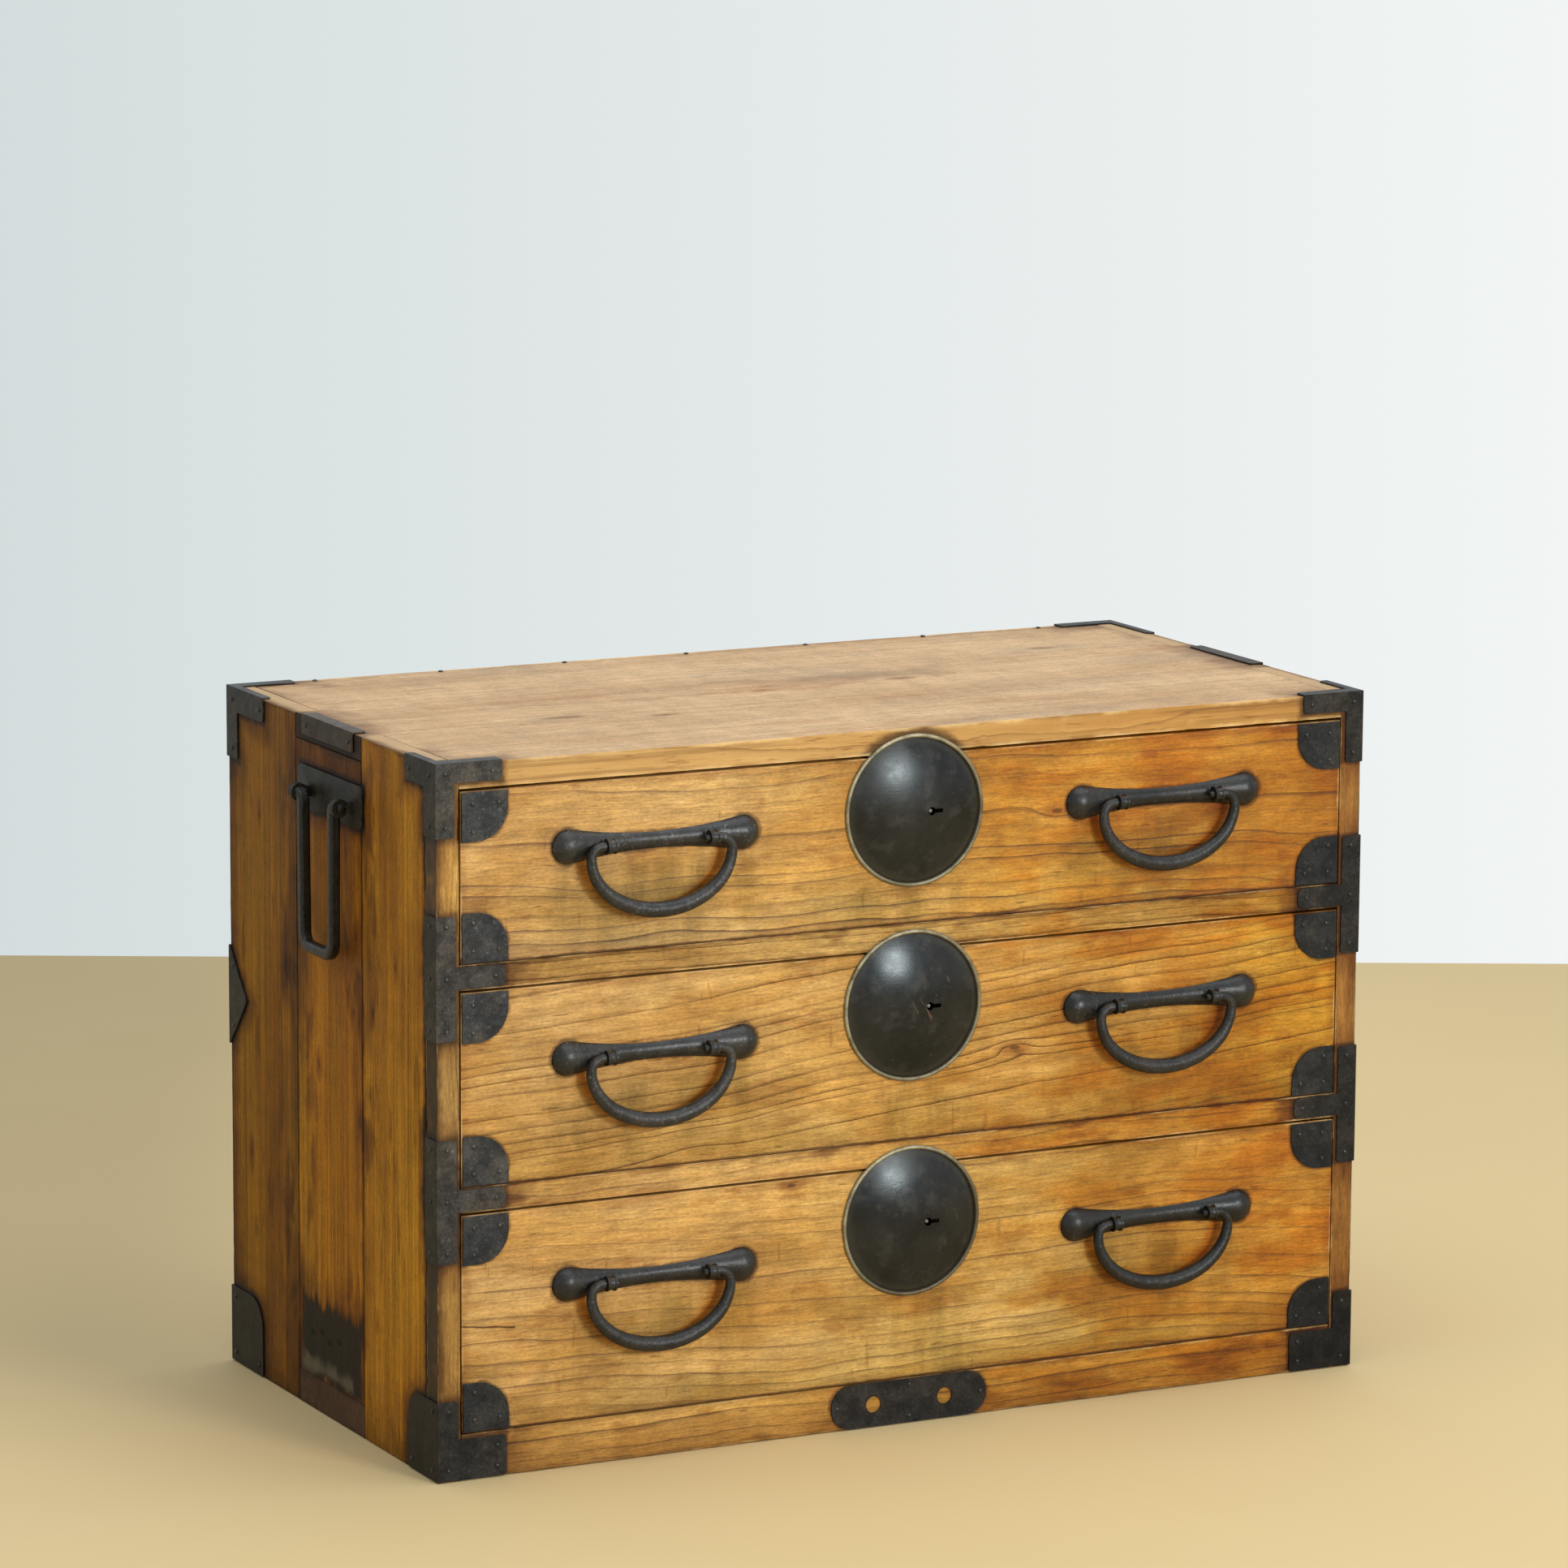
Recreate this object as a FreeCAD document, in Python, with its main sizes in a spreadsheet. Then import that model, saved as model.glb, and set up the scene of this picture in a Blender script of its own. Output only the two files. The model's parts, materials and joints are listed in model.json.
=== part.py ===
import FreeCAD, Part
import math
import os
import re
import Sketcher

# A small tansu chest: a joined cedar carcase of planks, three drawers that slide on
# runners, iron straps nailed over the joints, and on each drawer a domed lock plate
# and two hanging bails. Lengths are millimetres. The front faces -Y, +Z is up, and
# the origin is the middle of the base on the floor.

V = FreeCAD.Vector
FRONT, BACK = -1, 1
LEFT, RIGHT = -1, 1
SIDES = (("left", LEFT), ("right", RIGHT))
ENDS = (("front", FRONT), ("back", BACK))

SIZES = {
    # carcase
    "width": 860, "depth": 434, "height": 590,
    "side_thick": 20, "top_thick": 21, "base_thick": 28, "back_thick": 12,
    "stile_deep": 22, "front_plank": 128, "middle_plank": 137,
    "rail_high": 21, "rail_deep": 24, "sill_high": 39,
    "tenon_long": 10, "tenon_thick": 12, "tenon_high": 12,
    "opening_1": 143, "opening_2": 162, "runner_wide": 18,
    # drawers
    "front_thick": 20, "front_proud": 0.4, "gap_side": 1, "gap_top": 1.8, "seat_gap": 0.3,
    "drawer_side": 12, "drawer_base": 9, "drawer_back": 12, "rebate_deep": 10,
    "side_drop": 6, "back_gap": 15,
    # iron straps of the carcase
    "iron": 1.2, "lift": 1,
    "cap_arm": 57.5, "cap_arm_high": 15.6, "cap_leg": 15.6, "cap_drop": 60,
    "cap_side": 59, "cap_side_back": 79, "cap_side_high": 20, "cap_side_leg": 22,
    "cap_lip": 13, "cap_side_lip": 7,
    "foot_arm": 60.5, "foot_arm_high": 34, "foot_leg": 17.6, "foot_high": 66,
    "foot_side": 58, "foot_side_back": 68, "foot_round": 26,
    "tee_high": 102, "tee_leg": 16.8, "tee_arm": 60, "tee_arm_high": 18, "tee_side": 21.5,
    "bridge_long": 106, "bridge_high": 16, "bridge_lip": 12,
    "wedge_high": 86, "wedge_deep": 38, "wedge_back": 20, "wedge_up": 28,
    "sill_iron_long": 146, "sill_iron_high": 37.4, "sill_hole_gap": 67, "sill_hole_r": 7,
    # nails
    "nail_head_r": 2.4, "nail_head_high": 1.2, "nail_shank_r": 1, "nail_long": 11,
    # drawer corner plates
    "corner_plate": 40.5, "corner_round": 28, "corner_inset": 1,
    # locks
    "lock_drop": 48, "lock_r": 64, "ring_r": 1.7, "ring_seat": 0.9,
    "dome_high": 12, "dome_thick": 1.6,
    "key_in": 10.8, "key_r": 3.5, "key_post_r": 2.1, "key_slot": 10.7, "key_slot_high": 3.4,
    "key_post_back": 1.6,
    "case_wide": 64, "case_high": 46, "case_deep": 14, "case_wall": 1.5,
    "bolt_wide": 16, "bolt_thick": 8, "bolt_tail": 8, "bolt_set": 2,
    "bolt_slack": 0.4, "bolt_throw": 10, "mortise_slack": 1.2, "bolt_room": 2,
    # bails of the drawers
    "bail_in": 194, "bail_up_1": 89, "bail_up_2": 98, "bail_up_3": 114.5,
    "bail_axis_out": 12, "bail_half": 63, "bail_drop": 55.3, "bail_corner": 10,
    "bail_end_r": 4, "bail_mid_r": 6.7, "pin_r": 3, "pin_clear": 0.06, "pin_past": 3,
    "collar_at": 46, "collar_long": 8, "collar_r": 5.6, "collar_ring": 0.9,
    "collar_ring_long": 1.6, "collar_neck_r": 4.2, "collar_gap": 0.5,
    "bone_half": 94, "bone_end_r": 15.5, "bone_waist_r": 8.75, "bone_sink": 5.5,
    # carrying handles of the sides
    "carry_ahead": 6, "carry_below": 61, "carry_axis_out": 12,
    "carry_plate_long": 132, "carry_plate_high": 36, "carry_plate_thick": 2,
    "carry_plate_round": 6, "carry_plate_above": 20,
    "carry_eye_at": 43, "carry_eye_long": 7, "carry_eye_r": 7.5, "carry_eye_neck": 9,
    "carry_pin_r": 4, "carry_pin_past": 3, "carry_gap": 0.5,
    "carry_bar": 10, "carry_bar_round": 3, "carry_top_half": 32, "carry_low_half": 30,
    "carry_drop": 126, "carry_corner": 6.5, "carry_low_corner": 12,
}

doc = FreeCAD.newDocument("small_tansu_chest")
sheet = doc.addObject("Spreadsheet::Sheet", "sizes")
nodes = {}


def fill_sheet():
    for row, (alias, number) in enumerate(SIZES.items(), start=1):
        sheet.set("A%d" % row, alias)
        sheet.set("B%d" % row, str(number))
        sheet.setAlias("B%d" % row, alias)
    doc.recompute()


def bound(text):
    """The expression that reads each named size from the sheet."""
    return re.sub(r"[a-z_]+[a-z_0-9]*", lambda word: "sizes." + word.group(0)
                  if word.group(0) in SIZES else word.group(0), text)


def value(text):
    """The number that a text of named sizes comes to."""
    result = sheet.evalExpression(bound(text))
    return float(getattr(result, "Value", result))


def bind(thing, **texts):
    for name, text in texts.items():
        thing.setExpression(name, bound(text))


def place(thing, x, y, z):
    for axis, text in zip("xyz", (x, y, z)):
        thing.setExpression("Placement.Base." + axis, bound(text))


def keep(node, thing):
    """Make a finished object the sub-part of that name."""
    thing.Label = node
    nodes[node] = thing
    return thing


# ---- primitives and booleans that follow the sheet

def slab(name, xs, ys, zs):
    """A box between two texts on each axis."""
    thing = doc.addObject("Part::Box", name)
    place(thing, xs[0], ys[0], zs[0])
    bind(thing, Length="(%s) - (%s)" % (xs[1], xs[0]),
         Width="(%s) - (%s)" % (ys[1], ys[0]), Height="(%s) - (%s)" % (zs[1], zs[0]))
    return thing


def rod(name, radius, long, spot, axis):
    """A cylinder from a spot, along an axis."""
    thing = doc.addObject("Part::Cylinder", name)
    thing.Placement.Rotation = FreeCAD.Rotation(V(0, 0, 1), axis)
    place(thing, *spot)
    bind(thing, Radius=radius, Height=long)
    return thing


def fuse(name, pieces):
    thing = doc.addObject("Part::MultiFuse", name)
    thing.Shapes = pieces
    thing.Refine = True
    return thing


def cut(name, base, tools):
    thing = doc.addObject("Part::Cut", name)
    thing.Base = base
    thing.Tool = tools[0] if len(tools) == 1 else fuse(name + "_tools", tools)
    return thing


def group(name, pieces):
    thing = doc.addObject("Part::Compound", name)
    thing.Links = pieces
    return thing


def mirrored(sign, near, far):
    """Two texts measured out from the middle, on the negative or the positive side."""
    return (near, far) if sign > 0 else ("-(%s)" % far, "-(%s)" % near)


# ---- sketched plates

def origin_plane(body, role):
    return next(plane for plane in body.Origin.OriginFeatures if plane.Role == role)


def new_sketch(body, role, name):
    sketch = body.newObject("Sketcher::SketchObject", name)
    sketch.AttachmentSupport = (origin_plane(body, role), [""])
    sketch.MapMode = "FlatFace"
    return sketch


def pin_point(sketch, geometry, point, x=None, y=None):
    """Hold a point of the sketch at texts x and y from the sketch's origin."""
    for kind, text, axis in (("DistanceX", x, -2), ("DistanceY", y, -1)):
        if text is None:
            continue
        if text == "0":
            sketch.addConstraint(Sketcher.Constraint("PointOnObject", geometry, point, axis))
            continue
        rule = Sketcher.Constraint(kind, -1, 1, geometry, point, value(text))
        index = sketch.addConstraint(rule)
        sketch.setExpression("Constraints[%d]" % index, bound(text))


def toward(start, end):
    return [round(step, 6) for step in (end - start).normalize()]


def draw_outline(sketch, corners):
    """A closed outline through corners (x, y, rounding), anticlockwise."""
    spots = [V(value(x), value(y), 0) for x, y, turn in corners]
    joints = []
    for index, (x, y, turn) in enumerate(corners):
        if turn == "0":
            joints.append((spots[index], spots[index], x, y, None))
            continue
        into = toward(spots[index - 1], spots[index])
        away = toward(spots[index], spots[(index + 1) % len(spots)])
        radius = value(turn)
        first = spots[index] - V(*into) * radius
        last = spots[index] + V(*away) * radius
        middle = first + V(*away) * radius
        texts = {
            "first": ("%s - (%g)*(%s)" % (x, into[0], turn), "%s - (%g)*(%s)" % (y, into[1], turn)),
            "middle": ("%s + (%g)*(%s)" % (x, away[0] - into[0], turn),
                       "%s + (%g)*(%s)" % (y, away[1] - into[1], turn)),
        }
        joints.append((first, last, middle, texts, away))
    arcs = {}
    for index, joint in enumerate(joints):
        if joint[4] is None:
            continue
        first, last, middle, texts, away = joint
        start = math.atan2(first.y - middle.y, first.x - middle.x)
        circle = Part.Circle(middle, V(0, 0, 1), (first - middle).Length)
        arc = sketch.addGeometry(Part.ArcOfCircle(circle, start, start + math.pi / 2), False)
        pin_point(sketch, arc, 3, *texts["middle"])
        pin_point(sketch, arc, 1, *texts["first"])
        if abs(away[0]) > 0.5:
            pin_point(sketch, arc, 2, x=texts["middle"][0])
        else:
            pin_point(sketch, arc, 2, y=texts["middle"][1])
        arcs[index] = arc
    lines = []
    for index, joint in enumerate(joints):
        following = joints[(index + 1) % len(joints)]
        line = Part.LineSegment(joint[1], following[0])
        lines.append(sketch.addGeometry(line, False))
    for index, line in enumerate(lines):
        before = lines[index - 1]
        if index in arcs:
            sketch.addConstraint(Sketcher.Constraint("Coincident", before, 2, arcs[index], 1))
            sketch.addConstraint(Sketcher.Constraint("Coincident", line, 1, arcs[index], 2))
        else:
            sketch.addConstraint(Sketcher.Constraint("Coincident", before, 2, line, 1))
            pin_point(sketch, line, 1, corners[index][0], corners[index][1])


def draw_hole(sketch, x, y, radius):
    circle = Part.Circle(V(value(x), value(y), 0), V(0, 0, 1), value(radius))
    ring = sketch.addGeometry(circle, False)
    pin_point(sketch, ring, 3, x, y)
    index = sketch.addConstraint(Sketcher.Constraint("Radius", ring, value(radius)))
    sketch.setExpression("Constraints[%d]" % index, bound(radius))


FACING = {
    "front": (FreeCAD.Rotation(V(1, 0, 0), 90), False),
    "back": (FreeCAD.Rotation(V(1, 0, 0), 90), True),
    "right": (FreeCAD.Rotation(V(1, 1, 1), 120), False),
    "left": (FreeCAD.Rotation(V(1, 1, 1), 120), True),
}


def plate(name, facing, spot, corners, thick, holes=()):
    """A sheet plate lying on a face of the chest. Its outline is x across and y up."""
    body = doc.addObject("PartDesign::Body", name)
    sketch = new_sketch(body, "XY_Plane", name + "_outline")
    draw_outline(sketch, corners)
    for x, y, radius in holes:
        draw_hole(sketch, x, y, radius)
    pad = body.newObject("PartDesign::Pad", name + "_pad")
    pad.Profile = sketch
    bind(pad, Length=thick)
    turn, reverse = FACING[facing]
    pad.Reversed = reverse
    body.Placement.Rotation = turn
    place(body, *spot)
    return body


# ---- levels of the drawers

DRAWERS = {
    1: ("height - top_thick - opening_1", "opening_1", "bail_up_1"),
    2: ("height - top_thick - opening_1 - rail_high - opening_2", "opening_2", "bail_up_2"),
    3: ("sill_high", "(height - top_thick - opening_1 - opening_2 - 2*rail_high - sill_high)",
        "bail_up_3"),
}
INNER = "width/2 - side_thick"
PLANE = "-depth/2 - front_proud"
CARRY_LEVEL = "height - carry_below"
WEDGE_LEVEL = "height/2 + wedge_up"


def lock_level(number):
    floor, opening, bail_up = DRAWERS[number]
    return "%s + %s - lock_drop" % (floor, opening)


def bolt_middle():
    return PLANE + " + front_thick - case_deep/2"


# ---- carcase

def side_panel(word, side):
    across = mirrored(side, INNER, "width/2")
    front = "-depth/2 + stile_deep"
    first = front + " + front_plank"
    second = first + " + middle_plank"
    keep("side_panel_" + word, group("side_panel_" + word, [
        slab("plank_front_" + word, across, (front, first), ("0", "height")),
        slab("plank_middle_" + word, across, (first, second), ("base_thick", "height - top_thick")),
        slab("plank_back_" + word, across, (second, "depth/2"), ("0", "height")),
    ]))


def board_with_tenons(name, ys, zs):
    """A board between the sides, with a broad tenon through each middle plank."""
    joint = ("-depth/2 + stile_deep + front_plank",
             "-depth/2 + stile_deep + front_plank + middle_plank")
    board = slab(name + "_plank", ("-(%s)" % INNER, INNER), ys, zs)
    tenons = slab(name + "_tenons", ("-width/2", "width/2"), joint, zs)
    return fuse(name, [board, tenons])


def mortise(number):
    """The slot over a drawer's lock that its bolt rises into."""
    floor, opening, bail_up = DRAWERS[number]
    under = "%s + %s" % (floor, opening)
    middle = bolt_middle()
    return slab("mortise_%d" % number,
                ("-bolt_wide/2 - mortise_slack", "bolt_wide/2 + mortise_slack"),
                (middle + " - bolt_thick/2 - mortise_slack",
                 middle + " + bolt_thick/2 + mortise_slack"),
                (under, under + " + bolt_throw - bolt_set + bolt_room"))


def top_and_base():
    board = board_with_tenons("top_joined", ("-depth/2", "depth/2"),
                              ("height - top_thick", "height"))
    keep("top_board", cut("top_board", board, [mortise(1)]))
    keep("bottom_board", board_with_tenons("bottom_board", ("-depth/2 + rail_deep", "depth/2"),
                                           ("0", "base_thick")))


def back_panel():
    low, high = "base_thick", "height - top_thick"
    step = "((%s) - (%s))/3" % (high, low)
    planks = []
    for index in range(3):
        zs = ("%s + %d*%s" % (low, index, step), "%s + %d*%s" % (low, index + 1, step))
        planks.append(slab("back_plank_%d" % (index + 1), ("-(%s)" % INNER, INNER),
                           ("depth/2 - back_thick", "depth/2"), zs))
    keep("back_panel", group("back_panel", planks))


RAILS = {
    "rail_upper": (DRAWERS[1][0] + " - rail_high", DRAWERS[1][0]),
    "rail_lower": (DRAWERS[2][0] + " - rail_high", DRAWERS[2][0]),
    "rail_bottom": ("0", "sill_high"),
}
RAIL_OVER = {2: "rail_upper", 3: "rail_lower"}


def rail_tenon(name, low, high):
    """One bar whose two ends are the rail's tenons, and which cuts their mortises."""
    middle = "((%s) + (%s))/2" % (low, high)
    reach = "%s + tenon_long" % INNER
    ys = ("-depth/2 + stile_deep/2 - tenon_thick/2", "-depth/2 + stile_deep/2 + tenon_thick/2")
    return slab(name, ("-(%s)" % reach, reach), ys,
                (middle + " - tenon_high/2", middle + " + tenon_high/2"))


def rails():
    for name, (low, high) in RAILS.items():
        bar = slab(name + "_bar", ("-(%s)" % INNER, INNER),
                   ("-depth/2", "-depth/2 + rail_deep"), (low, high))
        rail = fuse(name + "_joined", [bar, rail_tenon(name + "_tenon", low, high)])
        for number, above in RAIL_OVER.items():
            if above == name:
                rail = cut(name, rail, [mortise(number)])
        keep(name, rail)


def stiles():
    uprights = []
    for word, side in SIDES:
        post = slab("stile_blank_" + word, mirrored(side, INNER, "width/2"),
                    ("-depth/2", "-depth/2 + stile_deep"), ("0", "height"))
        tools = [rail_tenon("mortise_%s_%s" % (name, word), low, high)
                 for name, (low, high) in RAILS.items()]
        uprights.append(cut("stile_" + word, post, tools))
    keep("front_stiles", group("front_stiles", uprights))


def runners():
    strips = []
    ys = ("-depth/2 + rail_deep", "depth/2 - back_thick")
    for number, (floor, opening, bail_up) in DRAWERS.items():
        low = "base_thick" if number == 3 else floor + " - rail_high"
        for word, side in SIDES:
            strips.append(slab("runner_%d_%s" % (number, word),
                               mirrored(side, INNER + " - runner_wide", INNER), ys, (low, floor)))
    keep("drawer_runners", group("drawer_runners", strips))


# ---- irons of the carcase

def skin(face):
    """The thickness of a strap that lies on the front or the back."""
    return mirrored(face, "depth/2", "depth/2 + iron")


def cheek(side):
    """The thickness of a strap that lies on a side."""
    return mirrored(side, "width/2", "width/2 + iron")


def top_corner_iron(word, side, end, face):
    """A strap folded over an upper corner: front or back, side and top."""
    name = "cap_%s_%s" % (word, end)
    side_reach = "cap_side" if face == FRONT else "cap_side_back"
    crown = ("height", "height + iron")
    return fuse(name, [
        slab(name + "_arm", mirrored(side, "width/2 - cap_arm", "width/2 + iron"), skin(face),
             ("height - cap_arm_high", "height + iron")),
        slab(name + "_leg", mirrored(side, "width/2 - cap_leg", "width/2 + iron"), skin(face),
             ("height - cap_drop", "height + iron")),
        slab(name + "_side", cheek(side), mirrored(face, "depth/2 - " + side_reach, "depth/2 + iron"),
             ("height - cap_side_high", "height + iron")),
        slab(name + "_side_leg", cheek(side),
             mirrored(face, "depth/2 - cap_side_leg", "depth/2 + iron"),
             ("height - cap_drop", "height + iron")),
        slab(name + "_lip", mirrored(side, "width/2 - cap_arm", "width/2 + iron"),
             mirrored(face, "depth/2 - cap_lip", "depth/2 + iron"), crown),
        slab(name + "_side_lip", mirrored(side, "width/2 - cap_side_lip", "width/2 + iron"),
             mirrored(face, "depth/2 - " + side_reach, "depth/2 + iron"), crown),
    ])


def foot_corner_iron(word, side, end, face):
    """A strap round a lower corner, with a rounded cheek on the side."""
    name = "foot_%s_%s" % (word, end)
    reach = "foot_side" if face == FRONT else "foot_side_back"
    round_upper = [("0", "0", "0"), (reach, "0", "0"), (reach, "foot_high", "0"),
                   ("0", "foot_high", "0")]
    if face == FRONT:
        start = "-depth/2"
        round_upper[2] = (reach, "foot_high", "foot_round")
    else:
        start = "depth/2 - " + reach
        round_upper[3] = ("0", "foot_high", "foot_round")
    edge = "%d*width/2" % side
    return fuse(name, [
        slab(name + "_arm", mirrored(side, "width/2 - foot_arm", "width/2 + iron"), skin(face),
             ("lift", "lift + foot_arm_high")),
        slab(name + "_leg", mirrored(side, "width/2 - foot_leg", "width/2 + iron"), skin(face),
             ("lift", "lift + foot_high")),
        plate(name + "_cheek", word, (edge, start, "lift"), round_upper, "iron"),
    ])


def corner_irons():
    straps = []
    for word, side in SIDES:
        for end, face in ENDS:
            straps.append(top_corner_iron(word, side, end, face))
            straps.append(foot_corner_iron(word, side, end, face))
    keep("corner_irons", group("corner_irons", straps))


def tee_iron(word, side, rail):
    """A T strap over the joint of a rail and a stile, turned back onto the side."""
    low, high = RAILS[rail]
    middle = "((%s) + (%s))/2" % (low, high)
    name = "tee_%s_%s" % (word, rail)
    upright = (middle + " - tee_high/2", middle + " + tee_high/2")
    return fuse(name, [
        slab(name + "_leg", mirrored(side, "width/2 - tee_leg", "width/2 + iron"), skin(FRONT),
             upright),
        slab(name + "_arm", mirrored(side, "width/2 - tee_arm", "width/2 + iron"), skin(FRONT),
             (middle + " - tee_arm_high/2", middle + " + tee_arm_high/2")),
        slab(name + "_side", cheek(side), mirrored(FRONT, "depth/2 - tee_side", "depth/2 + iron"),
             upright),
    ])


def bridge_iron(word, side):
    """A strap folded over the middle of a side's upper edge, where the tenon comes through."""
    name = "bridge_" + word
    middle = "-depth/2 + stile_deep + front_plank + middle_plank/2"
    ys = (middle + " - bridge_long/2", middle + " + bridge_long/2")
    return fuse(name, [
        slab(name + "_side", cheek(side), ys, ("height - bridge_high", "height + iron")),
        slab(name + "_lip", mirrored(side, "width/2 - bridge_lip", "width/2 + iron"), ys,
             ("height", "height + iron")),
    ])


def wedge_iron(word, side):
    """A pointed plate at mid height of a back edge, turned onto the back."""
    name = "wedge_" + word
    low = WEDGE_LEVEL + " - wedge_high/2"
    corners = [("wedge_deep", "0", "0"), ("wedge_deep", "wedge_high", "0"),
               ("0", "wedge_high/2", "0")]
    cheek_plate = plate(name + "_cheek", word,
                        ("%d*width/2" % side, "depth/2 - wedge_deep", low), corners, "iron")
    flap = slab(name + "_back", mirrored(side, "width/2 - wedge_back", "width/2 + iron"),
                skin(BACK), (low, WEDGE_LEVEL + " + wedge_high/2"))
    return fuse(name, [cheek_plate, flap])


def edge_irons():
    straps = []
    for word, side in SIDES:
        straps.append(tee_iron(word, side, "rail_upper"))
        straps.append(tee_iron(word, side, "rail_lower"))
        straps.append(bridge_iron(word, side))
        straps.append(wedge_iron(word, side))
    keep("edge_irons", group("edge_irons", straps))


def sill_iron():
    """The round-ended plate on the middle of the bottom rail, with two holes."""
    turn = "sill_iron_high/2 - 0.5"
    corners = [("0", "0", turn), ("sill_iron_long", "0", turn),
               ("sill_iron_long", "sill_iron_high", turn), ("0", "sill_iron_high", turn)]
    holes = [("sill_iron_long/2 %s sill_hole_gap/2" % sign, "sill_iron_high/2", "sill_hole_r")
             for sign in "-+"]
    keep("sill_iron", plate("sill_iron", "front", ("-sill_iron_long/2", "-depth/2", "lift"),
                            corners, "iron", holes))


# ---- nails

def nail_pattern():
    """One nail standing on its strap: a low domed head on +Z and a shank below."""
    body = doc.addObject("PartDesign::Body", "nail_pattern")
    sketch = new_sketch(body, "XZ_Plane", "nail_half")
    corners = [("0", "0", "0"), ("nail_shank_r", "0", "0"), ("nail_shank_r", "nail_long", "0"),
               ("nail_head_r", "nail_long", "0"),
               ("nail_head_r/2", "nail_long + nail_head_high", "0"),
               ("0", "nail_long + nail_head_high", "0")]
    draw_outline(sketch, corners)
    turned = body.newObject("PartDesign::Revolution", "nail_turned")
    turned.Profile = sketch
    turned.ReferenceAxis = (sketch, ["V_Axis"])
    turned.Angle = 360
    return body


def nail_at(pattern, point, out):
    """A copy of the nail whose head sits at a point, facing out."""
    nail = pattern.Shape.copy()
    nail.Placement = FreeCAD.Placement()
    turn = FreeCAD.Rotation(V(0, 0, 1), out)
    nail.Placement = FreeCAD.Placement(point - out * value("nail_long"), turn)
    return nail


def nailed(name, pattern, spots):
    """Identical nails as one sub-part of separate solids."""
    thing = doc.addObject("Part::Feature", name)
    thing.Shape = Part.makeCompound([nail_at(pattern, point, out) for point, out in spots])
    thing.Placement = FreeCAD.Placement()
    keep(name, thing)


def strap_spots(side):
    """The nails of the straps on one side of the carcase."""
    half, deep = value("width/2"), value("depth/2")
    high, iron, lift = value("height"), value("iron"), value("lift")
    margin = 3.5 * value("nail_head_r")
    spots = []

    def on_front(inset, z):
        spots.append((V(side * (half - inset), -deep - iron, z), V(0, -1, 0)))

    def on_back(inset, z):
        spots.append((V(side * (half - inset), deep + iron, z), V(0, 1, 0)))

    def on_side(y, z):
        spots.append((V(side * (half + iron), y, z), V(side, 0, 0)))

    leg, arm, drop = value("cap_leg/2"), value("cap_arm") - margin, value("cap_drop") - margin
    crown = high - value("cap_arm_high/2")
    for driven in (on_front, on_back):
        driven(leg, crown)
        driven(arm, crown)
        driven(leg, high - drop)
    side_crown = high - value("cap_side_high/2")
    side_leg = value("cap_side_leg/2")
    for face, reach in ((FRONT, value("cap_side")), (BACK, value("cap_side_back"))):
        on_side(face * (deep - side_leg), side_crown)
        on_side(face * (deep - reach + margin), side_crown)
        on_side(face * (deep - side_leg), high - drop)
    tee_reach = value("tee_high/2") - margin
    for rail in ("rail_upper", "rail_lower"):
        low, top = RAILS[rail]
        middle = value("((%s) + (%s))/2" % (low, top))
        for step in (-tee_reach, 0, tee_reach):
            on_front(value("tee_leg/2"), middle + step)
            on_side(-deep + value("tee_side/2"), middle + step)
        on_front(value("tee_arm") - margin, middle)
    foot_top = lift + value("foot_high") - margin
    foot_low = lift + margin
    for driven in (on_front, on_back):
        driven(value("foot_leg/2"), foot_top)
        driven(value("foot_leg/2"), foot_low)
        driven(value("foot_arm") - margin, foot_low)
        driven(value("foot_arm") - margin, lift + value("foot_arm_high") - margin)
    for face, reach in ((FRONT, value("foot_side")), (BACK, value("foot_side_back"))):
        on_side(face * (deep - margin), foot_top)
        on_side(face * (deep - margin), foot_low)
        on_side(face * (deep - reach + margin), foot_low)
    middle = value("-depth/2 + stile_deep + front_plank + middle_plank/2")
    for step in (-1, 1):
        on_side(middle + step * (value("bridge_long/2") - margin), high - value("bridge_high/2"))
        on_side(deep - margin, value(WEDGE_LEVEL) + step * (value("wedge_high/2") - 2 * margin))
        on_back(value("wedge_back/2"), value(WEDGE_LEVEL) + step * (value("wedge_high/2") - margin))
    return spots


def sill_spots():
    deep, iron = value("depth/2"), value("iron")
    margin = 2.2 * value("nail_head_r")
    across, up = value("sill_iron_long/2") - margin, value("sill_iron_high/2") - margin
    level = value("lift + sill_iron_high/2")
    places = [(-across, level), (across, level), (0, level - up), (0, level + up)]
    return [(V(x, -deep - iron, z), V(0, -1, 0)) for x, z in places]


def back_edge_spots():
    """Nails driven down through the top board into the back planks."""
    count = 7
    reach = value("width/2 - cap_arm - side_thick")
    y = value("depth/2 - back_thick/2")
    steps = [2 * index / (count - 1) - 1 for index in range(count)]
    return [(V(step * reach, y, value("height")), V(0, 0, 1)) for step in steps]


def carcase_nails(pattern):
    spots = sill_spots() + back_edge_spots()
    for word, side in SIDES:
        spots += strap_spots(side)
    nailed("carcase_nails", pattern, spots)


# ---- drawers

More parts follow.
